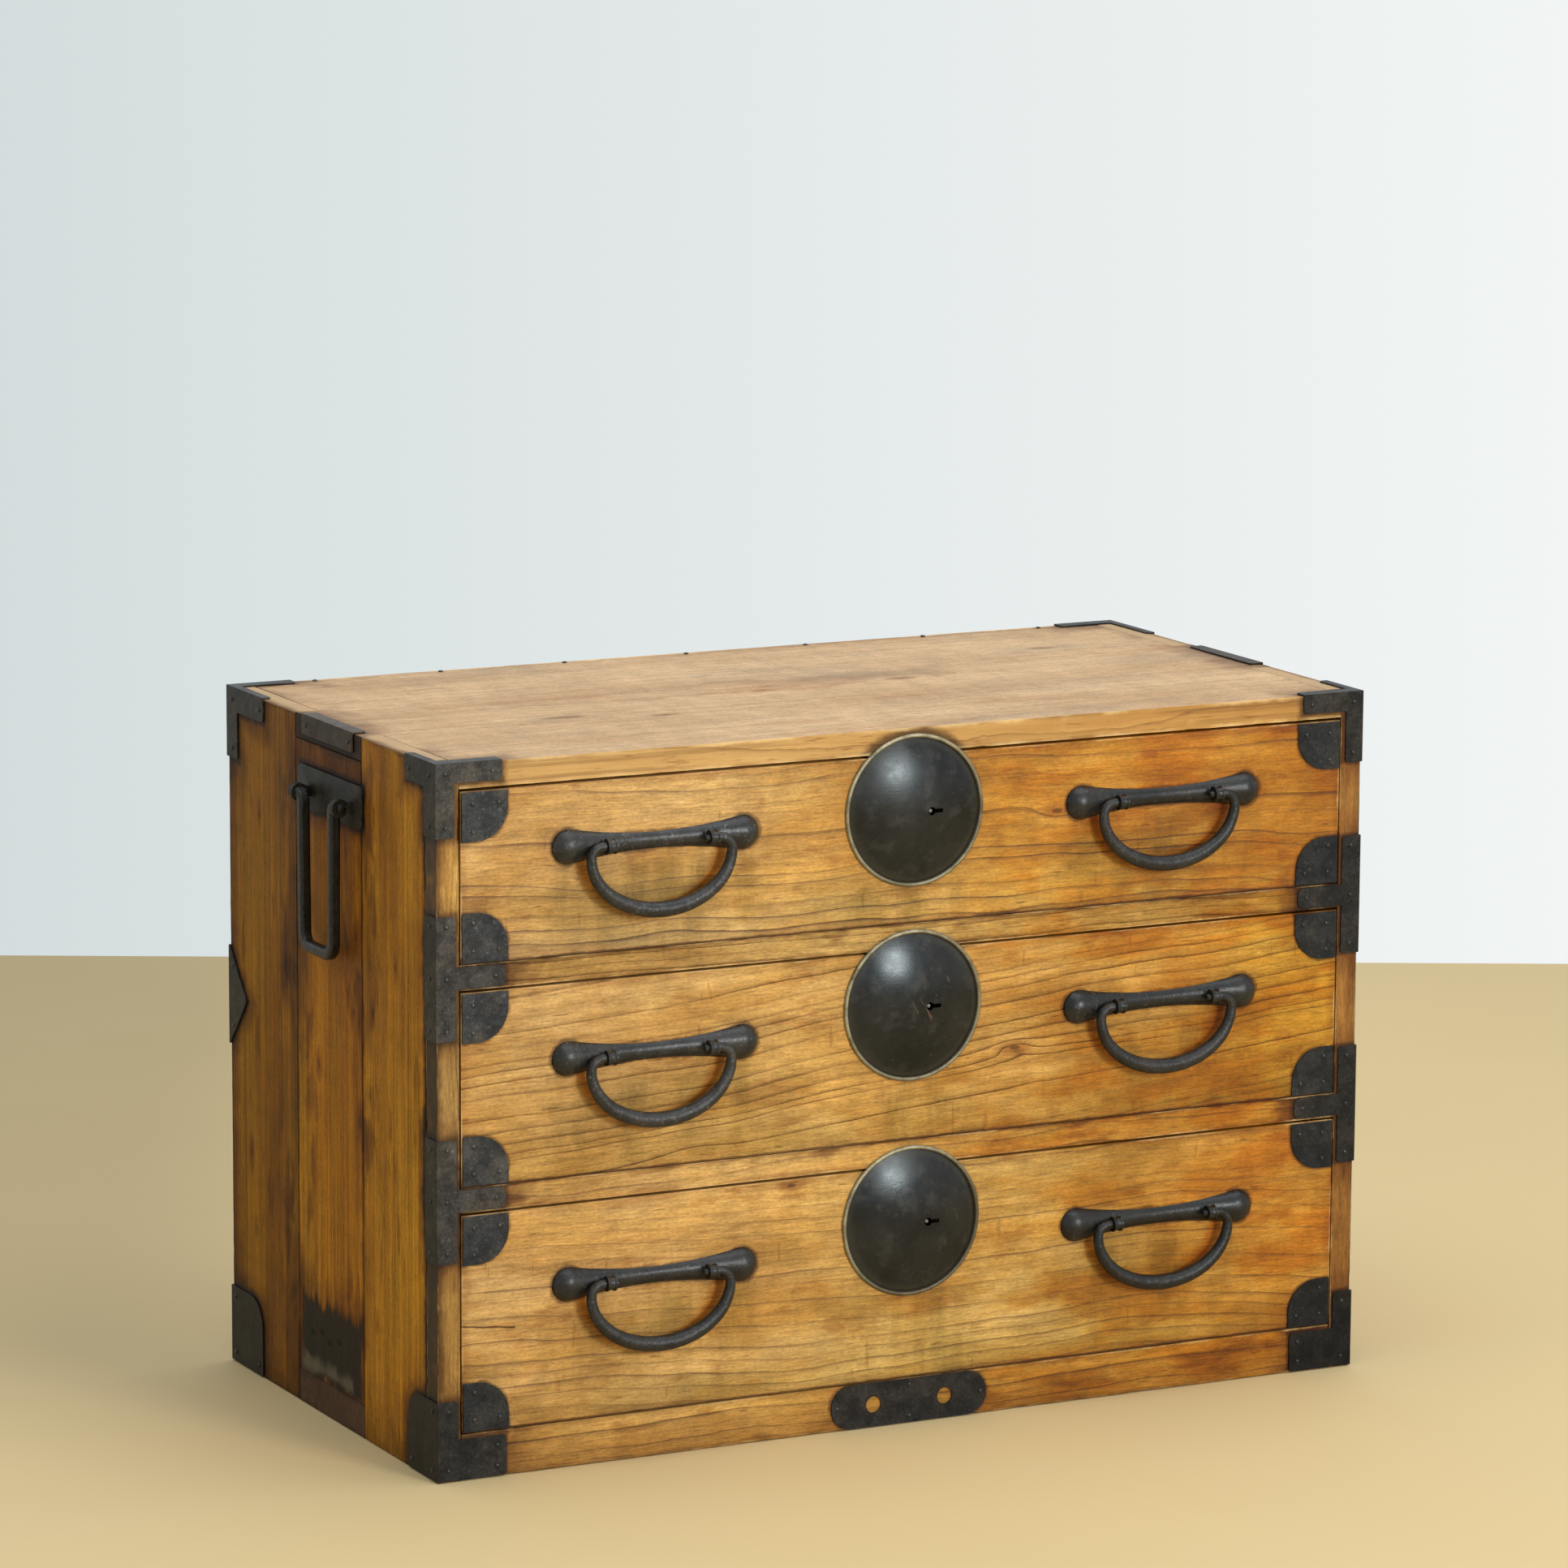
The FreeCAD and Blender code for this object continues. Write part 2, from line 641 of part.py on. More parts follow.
def drawer_box(number):
    """The five boards of a drawer. Its front has a rebate for each side and the lock's seat."""
    floor, opening, bail_up = DRAWERS[number]
    tag = "drawer_%d_" % number
    half = INNER + " - gap_side"
    low = floor + " + seat_gap"
    high = "%s + %s - gap_top" % (floor, opening)
    back_face = PLANE + " + front_thick"
    end = "depth/2 - back_thick - back_gap"
    boards = (low + " + drawer_base", high + " - side_drop")

    blank = slab(tag + "front_blank", ("-(%s)" % half, half), (PLANE, back_face), (low, high))
    rebates = [slab(tag + "rebate_" + word, mirrored(side, half + " - drawer_side", half),
                    (back_face + " - rebate_deep", back_face), boards) for word, side in SIDES]
    keep(tag + "front", cut(tag + "front", blank, rebates + lock_seat(number, high)))
    for word, side in SIDES:
        xs = mirrored(side, half + " - drawer_side", half)
        board = slab(tag + "side_" + word, xs, (back_face + " - rebate_deep", end), boards)
        keep(tag + "side_" + word, board)
    inside = half + " - drawer_side"
    keep(tag + "back", slab(tag + "back", ("-(%s)" % inside, inside),
                            (end + " - drawer_back", end), boards))
    keep(tag + "bottom", slab(tag + "bottom", ("-(%s)" % half, half), (back_face, end),
                              (low, low + " + drawer_base")))


def case_box(name, number, shrink):
    level = lock_level(number)
    back = PLANE + " + front_thick"
    return slab(name, ("-case_wide/2 + %s" % shrink, "case_wide/2 - %s" % shrink),
                (back + " - case_deep + %s" % shrink, back + " - %s" % shrink),
                (level + " - case_high/2 + %s" % shrink, level + " + case_high/2 - %s" % shrink))


def key_way(name, number, radius, start, long, x="key_in"):
    return rod(name, radius, long, (x, start, lock_level(number)), V(0, 1, 0))


def key_bore(name, number, start, long):
    """The bore behind the keyhole, as wide as its round and its slot together."""
    return key_way(name, number, "key_r + key_slot/2", start, long, "key_in + key_slot/2")


def lock_seat(number, high):
    """What the drawer front loses: the case's pocket, the bolt's channel and the key's bore."""
    tag = "drawer_%d_" % number
    middle = bolt_middle()
    channel = slab(tag + "channel", ("-bolt_wide/2 - bolt_slack", "bolt_wide/2 + bolt_slack"),
                   (middle + " - bolt_thick/2 - bolt_slack", middle + " + bolt_thick/2 + bolt_slack"),
                   (lock_level(number), high))
    bore = key_bore(tag + "key_bore", number, PLANE, "front_thick/2")
    return [case_box(tag + "pocket", number, "0"), channel, bore]


def lock_case(number):
    """A hollow iron case with the post that the key turns on."""
    tag = "drawer_%d_" % number
    level = lock_level(number)
    middle = bolt_middle()
    front = PLANE + " + front_thick - case_deep"
    shell = cut(tag + "case_shell", case_box(tag + "case_blank", number, "0"), [
        case_box(tag + "case_room", number, "case_wall"),
        slab(tag + "case_slot", ("-bolt_wide/2 - bolt_slack", "bolt_wide/2 + bolt_slack"),
             (middle + " - bolt_thick/2 - bolt_slack", middle + " + bolt_thick/2 + bolt_slack"),
             (level, level + " + case_high/2")),
        key_bore(tag + "case_hole", number, front, "case_wall"),
    ])
    tip = "-depth/2 - front_proud - dome_high + dome_thick + key_post_back"
    post = key_way(tag + "key_post", number, "key_post_r", tip,
                   "dome_high - dome_thick - key_post_back + front_thick - case_wall/2")
    keep(tag + "lock_case", fuse(tag + "lock_case", [shell, post]))


def lock_bolt(number):
    tag = "drawer_%d_" % number
    floor, opening, bail_up = DRAWERS[number]
    middle = bolt_middle()
    keep(tag + "lock_bolt", slab(tag + "lock_bolt", ("-bolt_wide/2", "bolt_wide/2"),
                                 (middle + " - bolt_thick/2 + bolt_slack/2",
                                  middle + " + bolt_thick/2 - bolt_slack/2"),
                                 (lock_level(number) + " + bolt_tail",
                                  "%s + %s - gap_top - bolt_set" % (floor, opening))))


def cap(name, number, radius, rise):
    """A domed cap on the drawer front: a sphere's crown with a flat base."""
    thing = doc.addObject("Part::Sphere", name)
    thing.Placement.Rotation = FreeCAD.Rotation(V(1, 0, 0), 90)
    ball = "((%s)^2 + (%s)^2)/(2*(%s))" % (radius, rise, rise)
    bind(thing, Radius=ball, Angle1="asin(1 - (%s)/(%s))" % (rise, ball))
    place(thing, "0", "%s + %s - (%s)" % (PLANE, ball, rise), lock_level(number))
    return thing


def lock_plate(number):
    """The domed plate over the lock, pierced by a keyhole: a round and a slot."""
    tag = "drawer_%d_" % number
    level = lock_level(number)
    rim = "lock_r - 2*ring_r"
    reach = "dome_high + front_proud + iron"
    start = "%s - (%s)" % (PLANE, reach)
    hollow = cap(tag + "dome_room", number, rim + " - 2*dome_thick", "dome_high - dome_thick")
    slot = slab(tag + "key_slot", ("key_in", "key_in + key_slot"), (start, PLANE),
                (level + " - key_slot_high/2", level + " + key_slot_high/2"))
    tools = [hollow, key_way(tag + "key_round", number, "key_r", start, reach), slot]
    dome = cap(tag + "dome", number, rim, "dome_high")
    keep(tag + "lock_plate", cut(tag + "lock_plate", dome, tools))


def lock_ring(number):
    """The half-round ring that edges the dome."""
    tag = "drawer_%d_" % number
    level = lock_level(number)
    ring = doc.addObject("Part::Torus", tag + "ring_wire")
    ring.Placement.Rotation = FreeCAD.Rotation(V(1, 0, 0), 90)
    bind(ring, Radius1="lock_r - ring_r", Radius2="ring_r")
    place(ring, "0", PLANE + " - ring_seat", level)
    wood = slab(tag + "ring_wood", ("-2*lock_r", "2*lock_r"), (PLANE, PLANE + " + 2*ring_r"),
                (level + " - 2*lock_r", level + " + 2*lock_r"))
    keep(tag + "lock_ring", cut(tag + "lock_ring", ring, [wood]))


def drawer_corner_irons(number):
    """Quarter-round plates at the four corners of a drawer front."""
    floor, opening, bail_up = DRAWERS[number]
    reach = INNER + " - gap_side - corner_inset"
    low = floor + " + seat_gap + corner_inset"
    high = "%s + %s - gap_top - corner_inset" % (floor, opening)
    plates = []
    for word, side in SIDES:
        for end, edge in (("low", low), ("high", high)):
            far = "corner_plate"
            inward = (far if side == LEFT else "0", far if end == "low" else "0")
            corners = [(across, up, "corner_round" if (across, up) == inward else "0")
                       for across, up in (("0", "0"), (far, "0"), (far, far), ("0", far))]
            x = "-(%s)" % reach if side == LEFT else reach + " - corner_plate"
            z = edge if end == "low" else edge + " - corner_plate"
            plates.append(plate("drawer_%d_plate_%s_%s" % (number, word, end), "front",
                                (x, PLANE, z), corners, "iron"))
    name = "drawer_%d_corner_irons" % number
    keep(name, group(name, plates))


def drawer_nails(number, pattern):
    floor, opening, bail_up = DRAWERS[number]
    y = value(PLANE + " - iron")
    reach = value(INNER + " - gap_side - corner_inset")
    low = value(floor + " + seat_gap + corner_inset")
    high = value("%s + %s - gap_top - corner_inset" % (floor, opening))
    near = 4 * value("nail_head_r")
    far = value("corner_plate") - 3.4 * value("nail_head_r")
    spots = []
    for side in (LEFT, RIGHT):
        for edge, step in ((low, 1), (high, -1)):
            for across, up in ((near, near), (far, near), (near, far)):
                point = V(side * (reach - across), y, edge + step * up)
                spots.append((point, V(0, -1, 0)))
    nailed("drawer_%d_nails" % number, pattern, spots)


# ---- bails

def bone(name, spot):
    """A backplate like a bone: ball ends and a waist, half sunk behind the wood's face."""
    body = doc.addObject("PartDesign::Body", name + "_body")
    sketch = new_sketch(body, "XY_Plane", name + "_half")
    ball, waist = value("bone_end_r"), value("bone_waist_r")
    far = value("bone_half") - ball
    sweep = (far ** 2 + waist ** 2 - ball ** 2) / (2 * (ball - waist))
    sweep_text = ("(((bone_half - bone_end_r)^2 + bone_waist_r^2 - bone_end_r^2)"
                  "/(2*(bone_end_r - bone_waist_r)))")
    lean = math.atan2(waist + sweep, far)
    up = V(0, 0, 1)
    axis = sketch.addGeometry(Part.LineSegment(V(-far - ball, 0, 0), V(far + ball, 0, 0)), False)
    right = sketch.addGeometry(
        Part.ArcOfCircle(Part.Circle(V(far, 0, 0), up, ball), 0, math.pi - lean), False)
    hollow = sketch.addGeometry(
        Part.ArcOfCircle(Part.Circle(V(0, waist + sweep, 0), up, sweep),
                         math.pi + lean, 2 * math.pi - lean), False)
    left = sketch.addGeometry(
        Part.ArcOfCircle(Part.Circle(V(-far, 0, 0), up, ball), lean, math.pi), False)
    for first, second in (((axis, 2), (right, 1)), ((left, 2), (axis, 1))):
        sketch.addConstraint(Sketcher.Constraint("Coincident", *first, *second))
    for first, second in (((right, 2), (hollow, 2)), ((hollow, 1), (left, 1))):
        sketch.addConstraint(Sketcher.Constraint("Tangent", *first, *second))
    pin_point(sketch, right, 3, "bone_half - bone_end_r", "0")
    pin_point(sketch, hollow, 3, "0", "bone_waist_r + " + sweep_text)
    pin_point(sketch, axis, 2, "bone_half", "0")
    pin_point(sketch, left, 3, "-(bone_half - bone_end_r)", "0")
    pin_point(sketch, axis, 1, None, "0")
    turned = body.newObject("PartDesign::Revolution", name + "_turned")
    turned.Profile = sketch
    turned.ReferenceAxis = (sketch, ["H_Axis"])
    turned.Angle = 360
    place(body, spot[0], PLANE + " + bone_sink", spot[2])
    behind = slab(name + "_behind", (spot[0] + " - bone_half", spot[0] + " + bone_half"),
                  (PLANE, PLANE + " + bone_sink + 2*bone_end_r"),
                  (spot[2] + " - 2*bone_end_r", spot[2] + " + 2*bone_end_r"))
    return cut(name, body, [behind])


def handle_plate(number, word, side):
    """A backplate with the two collars that the bail turns in."""
    name = "drawer_%d_bone_%s" % (number, word)
    x, y, z = handle_spot(number, side)
    pieces = [bone(name, (x, y, z))]
    along = V(1, 0, 0)
    for end, sign in SIDES:
        tag = "%s_%s" % (name, end)
        middle = "%s %+d*collar_at" % (x, sign)
        start = middle + " - collar_long/2"
        pieces.append(rod(tag + "_neck", "collar_neck_r", "bail_axis_out",
                          (middle, PLANE, z), V(0, -1, 0)))
        pieces.append(rod(tag + "_collar", "collar_r", "collar_long", (start, y, z), along))
        for step in (0, 1):
            ring = start + " + %d*(collar_long - collar_ring_long)" % step
            pieces.append(rod("%s_ring_%d" % (tag, step), "collar_r + collar_ring",
                              "collar_ring_long", (ring, y, z), along))
    bore = rod(name + "_bore", "pin_r + pin_clear", "2*collar_at + 2*collar_long",
               (x + " - collar_at - collar_long", y, z), along)
    return cut(name + "_bored", fuse(name + "_whole", pieces), [bore])


def handle_spot(number, side):
    floor, opening, bail_up = DRAWERS[number]
    return ("%+d*(width/2 - bail_in)" % side, PLANE + " - bail_axis_out",
            "%s + %s" % (floor, bail_up))


def bail_stations():
    """Middle, direction and radius of the bail's bar, from its right end to its left."""
    half, turn = value("bail_half"), value("bail_corner")
    drop = value("bail_drop")
    thin, thick = value("bail_end_r"), value("bail_mid_r")
    start = value("collar_at + collar_long/2 + collar_gap")
    stations = [(start, 0.0, 0.0)]
    corner_steps, bow_steps = 3, 14
    for step in range(corner_steps):
        angle = math.pi / 2 * step / corner_steps
        stations.append((half - turn + turn * math.sin(angle), turn * math.cos(angle) - turn, angle))
    for step in range(bow_steps + 1):
        angle = math.pi * step / bow_steps
        run, fall = -half * math.sin(angle), -(drop - turn) * math.cos(angle)
        stations.append((half * math.cos(angle), -turn - (drop - turn) * math.sin(angle),
                         math.atan2(-fall, run)))
    mirror = [(-x, z, math.pi - lean) for x, z, lean in stations[corner_steps::-1]]
    stations = stations + mirror
    return [(x, z, lean, thin + (thick - thin) * (abs(z) / drop) ** 1.2) for x, z, lean in stations]


def bail(number, word, side):
    """A half-moon bar that swells to its middle, with a pin at each end."""
    name = "drawer_%d_handle_%s" % (number, word)
    rings = []
    for x, z, lean, radius in bail_stations():
        ring = Part.Circle(V(0, 0, 0), V(1, 0, 0), radius).toShape()
        ring.rotate(V(0, 0, 0), V(0, 1, 0), math.degrees(lean))
        ring.translate(V(x, 0, z))
        rings.append(Part.Wire([ring]))
    bar = Part.makeLoft(rings, True, False)
    inner = value("collar_at - collar_long/2 - pin_past")
    outer = value("collar_at + collar_long/2 + collar_gap")
    radius = value("pin_r")
    pins = [Part.makeCylinder(radius, outer - inner, V(start, 0, 0), V(1, 0, 0))
            for start in (inner, -outer)]
    thing = doc.addObject("Part::Feature", name)
    thing.Shape = bar.fuse(pins)
    thing.Placement.Base = V(*[value(text) for text in handle_spot(number, side)])
    keep(name, thing)


# ---- carrying handles

def carry_spot(side):
    return ("%+d*(width/2 + carry_axis_out)" % side, "-carry_ahead", CARRY_LEVEL)


def carry_plate(word, side):
    """A plate on the side with the two eyes that the carrying handle turns in."""
    name = "side_handle_plate_" + word
    x, y, z = carry_spot(side)
    low = CARRY_LEVEL + " - carry_plate_high + carry_plate_above"
    turn = "carry_plate_round"
    outline = [("0", "0", turn), ("carry_plate_long", "0", turn),
               ("carry_plate_long", "carry_plate_high", turn), ("0", "carry_plate_high", turn)]
    pieces = [plate(name + "_sheet", word, ("%+d*width/2" % side, y + " - carry_plate_long/2", low),
                    outline, "carry_plate_thick")]
    for end, sign in ENDS:
        tag = name + "_" + end
        middle = "%s %+d*carry_eye_at" % (y, sign)
        ys = (middle + " - carry_eye_long/2", middle + " + carry_eye_long/2")
        pieces.append(rod(tag + "_eye", "carry_eye_r", "carry_eye_long", (x, ys[0], z), V(0, 1, 0)))
        pieces.append(slab(tag + "_neck", mirrored(side, "width/2", "width/2 + carry_axis_out"), ys,
                           (z + " - carry_eye_neck/2", z + " + carry_eye_neck/2")))
    bore = rod(name + "_bore", "carry_pin_r + pin_clear", "2*carry_eye_at + 2*carry_eye_long",
               (x, y + " - carry_eye_at - carry_eye_long", z), V(0, 1, 0))
    keep(name, cut(name, fuse(name + "_whole", pieces), [bore]))


def rounded_path(points, radii):
    """A wire through points, with a tangent arc at each inner one."""
    edges = []
    last = points[0]
    for before, corner, after, radius in zip(points, points[1:], points[2:], radii):
        back, ahead = (before - corner).normalize(), (after - corner).normalize()
        half = back.getAngle(ahead) / 2
        reach = radius / math.tan(half)
        middle = corner + (back + ahead).normalize() * (radius / math.sin(half))
        start, end = corner + back * reach, corner + ahead * reach
        crown = middle + (corner - middle).normalize() * radius
        edges.append(Part.LineSegment(last, start).toShape())
        edges.append(Part.Arc(start, crown, end).toShape())
        last = end
    edges.append(Part.LineSegment(last, points[-1]).toShape())
    return Part.Wire(edges)


def square_bar(spot, thick, turn):
    """The section of the carrying handle's bar, square to Y, with rounded arrises."""
    half = thick / 2
    box = Part.makeBox(thick, 1, thick, spot - V(half, 0, half))
    edges = [edge for edge in box.Edges if abs(edge.tangentAt(edge.FirstParameter).y) > 0.5]
    return box.makeFillet(turn, edges)


def carry_handle(word, side):
    """A long U bar that hangs beside the chest and swings out to be gripped."""
    name = "side_handle_" + word
    eye = value("carry_eye_at - carry_eye_long/2 - carry_gap")
    top, low = value("carry_top_half"), value("carry_low_half")
    fall = -value("carry_drop")
    points = [V(0, -eye, 0), V(0, -top, 0), V(0, -low, fall), V(0, low, fall), V(0, top, 0),
              V(0, eye, 0)]
    upper, lower = value("carry_corner"), value("carry_low_corner")
    path = rounded_path(points, (upper, lower, lower, upper))
    blank = square_bar(points[0], value("carry_bar"), value("carry_bar_round"))
    section = min(blank.Faces, key=lambda face: face.CenterOfMass.y).OuterWire
    bar = path.makePipeShell([section], True, False)
    radius = value("carry_pin_r")
    long = value("carry_eye_long + carry_gap + carry_pin_past")
    pins = [Part.makeCylinder(radius, long, V(0, start, 0), V(0, 1, 0))
            for start in (eye, -eye - long)]
    thing = doc.addObject("Part::Feature", name)
    thing.Shape = bar.fuse(pins)
    thing.Placement.Base = V(*[value(text) for text in carry_spot(side)])
    keep(name, thing)


# ---- the whole chest

def build():
    fill_sheet()
    for word, side in SIDES:
        side_panel(word, side)
    top_and_base()
    back_panel()
    rails()
    stiles()
    runners()
    corner_irons()
    edge_irons()
    sill_iron()
    pattern = nail_pattern()
    doc.recompute()
    carcase_nails(pattern)
    for word, side in SIDES:
        carry_plate(word, side)
        carry_handle(word, side)
    for number in DRAWERS:
        drawer_box(number)
        lock_case(number)
        lock_bolt(number)
        lock_plate(number)
        lock_ring(number)
        drawer_corner_irons(number)
        drawer_nails(number, pattern)
        backplates = [handle_plate(number, word, side) for word, side in SIDES]
        keep("drawer_%d_handle_plates" % number,
             group("drawer_%d_handle_plates" % number, backplates))
        for word, side in SIDES:
            bail(number, word, side)
    doc.recompute()


def check():
    """Stop if any object failed, or any sub-part is empty or not a valid shape."""
    for thing in doc.Objects:
        if "Invalid" in thing.State or "Error" in thing.State:
            raise RuntimeError("%s did not recompute" % thing.Name)
    for node, thing in nodes.items():
        if thing.Shape.isNull() or not thing.Shape.isValid() or not thing.Shape.Solids:
            raise RuntimeError("%s has no valid solid" % node)


def write():
    os.makedirs("parts", exist_ok=True)
    for node, thing in nodes.items():
        thing.Shape.exportStep(os.path.join("parts", node + ".step"))


build()
check()
write()
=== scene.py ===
import json
import math
import random
from collections import namedtuple
from functools import reduce

import bmesh
import bpy
import numpy as np
from mathutils import Matrix, Vector, noise


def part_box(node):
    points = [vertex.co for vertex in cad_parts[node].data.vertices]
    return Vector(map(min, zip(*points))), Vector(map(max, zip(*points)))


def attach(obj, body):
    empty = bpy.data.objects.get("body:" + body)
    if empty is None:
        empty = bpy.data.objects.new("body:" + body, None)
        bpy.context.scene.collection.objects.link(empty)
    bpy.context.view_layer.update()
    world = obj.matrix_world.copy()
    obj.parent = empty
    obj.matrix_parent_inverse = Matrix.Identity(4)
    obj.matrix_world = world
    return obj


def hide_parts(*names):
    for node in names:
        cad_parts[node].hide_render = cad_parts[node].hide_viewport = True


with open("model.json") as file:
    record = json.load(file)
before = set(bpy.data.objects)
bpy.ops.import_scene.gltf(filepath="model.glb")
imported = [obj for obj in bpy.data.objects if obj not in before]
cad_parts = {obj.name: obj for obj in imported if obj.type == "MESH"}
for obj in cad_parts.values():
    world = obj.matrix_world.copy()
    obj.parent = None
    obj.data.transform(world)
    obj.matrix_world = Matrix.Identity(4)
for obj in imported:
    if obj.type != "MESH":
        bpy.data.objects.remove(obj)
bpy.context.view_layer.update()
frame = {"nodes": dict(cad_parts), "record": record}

# A small tansu chest: honey-coloured cedar boards with worn arrises, blackened iron
# straps nailed over the corners, and three drawers with domed lock plates and bails.
# Metres. The front faces -Y and +Z is up.

NODES = frame["nodes"]
MM = 0.001
DRAWERS = (1, 2, 3)
BODY_OF = {node: body for body, members in frame["record"]["behaviour"]["bodies"].items()
           for node in members}
WIDE, DEEP, HIGH = 0.86, 0.434, 0.59
STILE = 0.02
FRONT_JOINT, BACK_JOINT = -0.067, 0.07      # the joints between the planks of a side
# The irons: how far the upper corner straps (CAP) and the lower ones (FOOT) come in from the
# ends, the level where they stop, their hold on the top's front edge and along its sides;
# the T irons' levels, half height and arms; the straps over the sides; the sill's plate.
CAP_REACH, CAP_FOOT = 0.0575, 0.53
FOOT_REACH, FOOT_TOP = 0.0605, 0.067
CAP_WRAP, CAP_FLANK = 0.013, (0.059, 0.079)
TEES, TEE_HALF, TEE_REACH = (0.4155, 0.2325), 0.051, 0.06
BRIDGE_AT, BRIDGE_HALF = 0.0015, 0.053
SILL_LEVEL, SILL_R, SILL_HALF = 0.0197, 0.0187, 0.0543
SILL_HOLE_AT, SILL_HOLE_R = 0.0335, 0.0074
BONE_OUT, BONE_BALL, BONE_BALL_R, BONE_WAIST = 0.236, 0.0785, 0.0145, 0.0068
BAIL_HALF, BAIL_DROP = 0.063, 0.0553
POST_OUT = 0.0108       # how far right of the middle the key posts stand
NAIL_R, NAIL_HIGH = 0.0024, 0.0012


def level_of(node):
    """The level of a node's middle."""
    lo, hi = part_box(node)
    return (lo.z + hi.z) / 2


# ---- node trees

def operator(kind, swapped=False):
    """An operator of Value, which adds a Math node of that kind."""
    def act(self, *other):
        return self.graph.maths(kind, *((*other, self) if swapped else (self, *other)))
    return act


class Value:
    """A socket of a node tree. Arithmetic on it adds Math nodes."""

    def __init__(self, graph, socket):
        self.graph = graph
        self.socket = socket

    __add__ = __radd__ = operator("ADD")
    __sub__, __rsub__ = operator("SUBTRACT"), operator("SUBTRACT", True)
    __mul__ = __rmul__ = operator("MULTIPLY")
    __truediv__ = operator("DIVIDE")
    __pow__, __rpow__ = operator("POWER"), operator("POWER", True)
    __abs__ = operator("ABSOLUTE")


class Graph:
    """A node tree, and the one way that nodes are added to it."""

    def __init__(self, tree):
        self.tree = tree

    def node(self, kind, settings=(), inputs=(), output=0):
        made = self.tree.nodes.new(kind)
        for key, setting in dict(settings).items():
            setattr(made, key, setting)
        for key, given in dict(inputs).items():
            self.feed(made.inputs[key], given)
        return Value(self, made.outputs[output])

    def feed(self, socket, given):
        if isinstance(given, Value):
            self.tree.links.new(given.socket, socket)
        elif socket.type == "RGBA" and len(given) == 3:
            socket.default_value = (*given, 1)
        else:
            socket.default_value = given

    def maths(self, kind, *terms):
        return self.node("ShaderNodeMath", {"operation": kind}, dict(enumerate(terms)))

    def least(self, *terms):
        """The smallest of several values."""
        return reduce(lambda one, other: self.maths("MINIMUM", one, other), terms)

    def most(self, *terms):
        """The largest of several values."""
        return reduce(lambda one, other: self.maths("MAXIMUM", one, other), terms)


class Paint(Graph):
    """A procedural material on Object coordinates."""

    def __init__(self, name):
        self.material = bpy.data.materials.new(name)
        self.material.use_nodes = True
        super().__init__(self.material.node_tree)
        self.shader = self.tree.nodes["Principled BSDF"]
        self.spot = self.node("ShaderNodeTexCoord", output="Object")
        parts = self.node("ShaderNodeSeparateXYZ", inputs={0: self.spot}).socket.node
        self.x, self.y, self.z = (Value(self, socket) for socket in parts.outputs)
        self.colour = None

    def join(self, x, y, z):
        return self.node("ShaderNodeCombineXYZ", inputs={0: x, 1: y, 2: z})

    def stretch(self, spot, sizes):
        return self.node("ShaderNodeVectorMath", {"operation": "MULTIPLY"}, {0: spot, 1: sizes})

    def cloud(self, scale, detail=2, rough=0.5, spot=None):
        """Noise about a half."""
        return self.node("ShaderNodeTexNoise", inputs={
            "Vector": spot or self.spot, "Scale": scale, "Detail": detail, "Roughness": rough})

    def drawn(self, spot, sizes, detail=2, rough=0.5):
        """Noise drawn out along the axes whose sizes are small."""
        return self.cloud(1, detail, rough, spot=self.stretch(spot, sizes))

    def ramp(self, number, start, end, low=0, high=1):
        """A soft step from low at start to high at end."""
        return self.node("ShaderNodeMapRange", {"interpolation_type": "SMOOTHSTEP"},
                         {0: number, 1: start, 2: end, 3: low, 4: high})

    def blend(self, mask, first, second, kind="MIX"):
        return self.node("ShaderNodeMix", {"data_type": "RGBA", "blend_type": kind},
                         {0: mask, 6: first, 7: second}, 2)

    def shade(self, amount):
        """Scales the colour so far."""
        self.colour = self.node("ShaderNodeVectorMath", {"operation": "SCALE"},
                                {0: self.colour, 3: amount})

    def stain(self, mask, tone):
        """Multiplies the colour so far by a tone."""
        self.colour = self.blend(mask, self.colour, tone, "MULTIPLY")

    def tint(self, mask, tone):
        """Covers the colour so far with a tone."""
        self.colour = self.blend(mask, self.colour, tone)

    def fade(self, number, start, end, tone, depth=1):
        """A stain that is nothing at start and full at end."""
        self.stain(self.ramp(number, start, end, 0, depth), tone)

    def cover(self, number, start, end, tone, depth=1):
        """A tint that is nothing at start and full at end."""
        self.tint(self.ramp(number, start, end, 0, depth), tone)

    def beyond_box(self, u, v, middle, half):
        """How far outside a box on two axes; less than 0 inside it."""
        return self.most(abs(u - middle[0]) - half[0], abs(v - middle[1]) - half[1])

    def beyond_disc(self, u, v, middle, radius):
        across, up = u - middle[0], v - middle[1]
        return (across * across + up * up) ** 0.5 - radius

    def done(self, rough, height, depth, **constants):
        """Feeds the shader. Height is a relief of 0 to 1 that is depth high."""
        bump = self.node("ShaderNodeBump", inputs={"Strength": 1, "Distance": depth,
                                                   "Height": height})
        self.feed(self.shader.inputs["Base Color"], self.colour)
        self.feed(self.shader.inputs["Roughness"], rough)
        self.feed(self.shader.inputs["Normal"], bump)
        for key, number in constants.items():
            self.shader.inputs[key.replace("_", " ")].default_value = number
        return self


# ---- wood

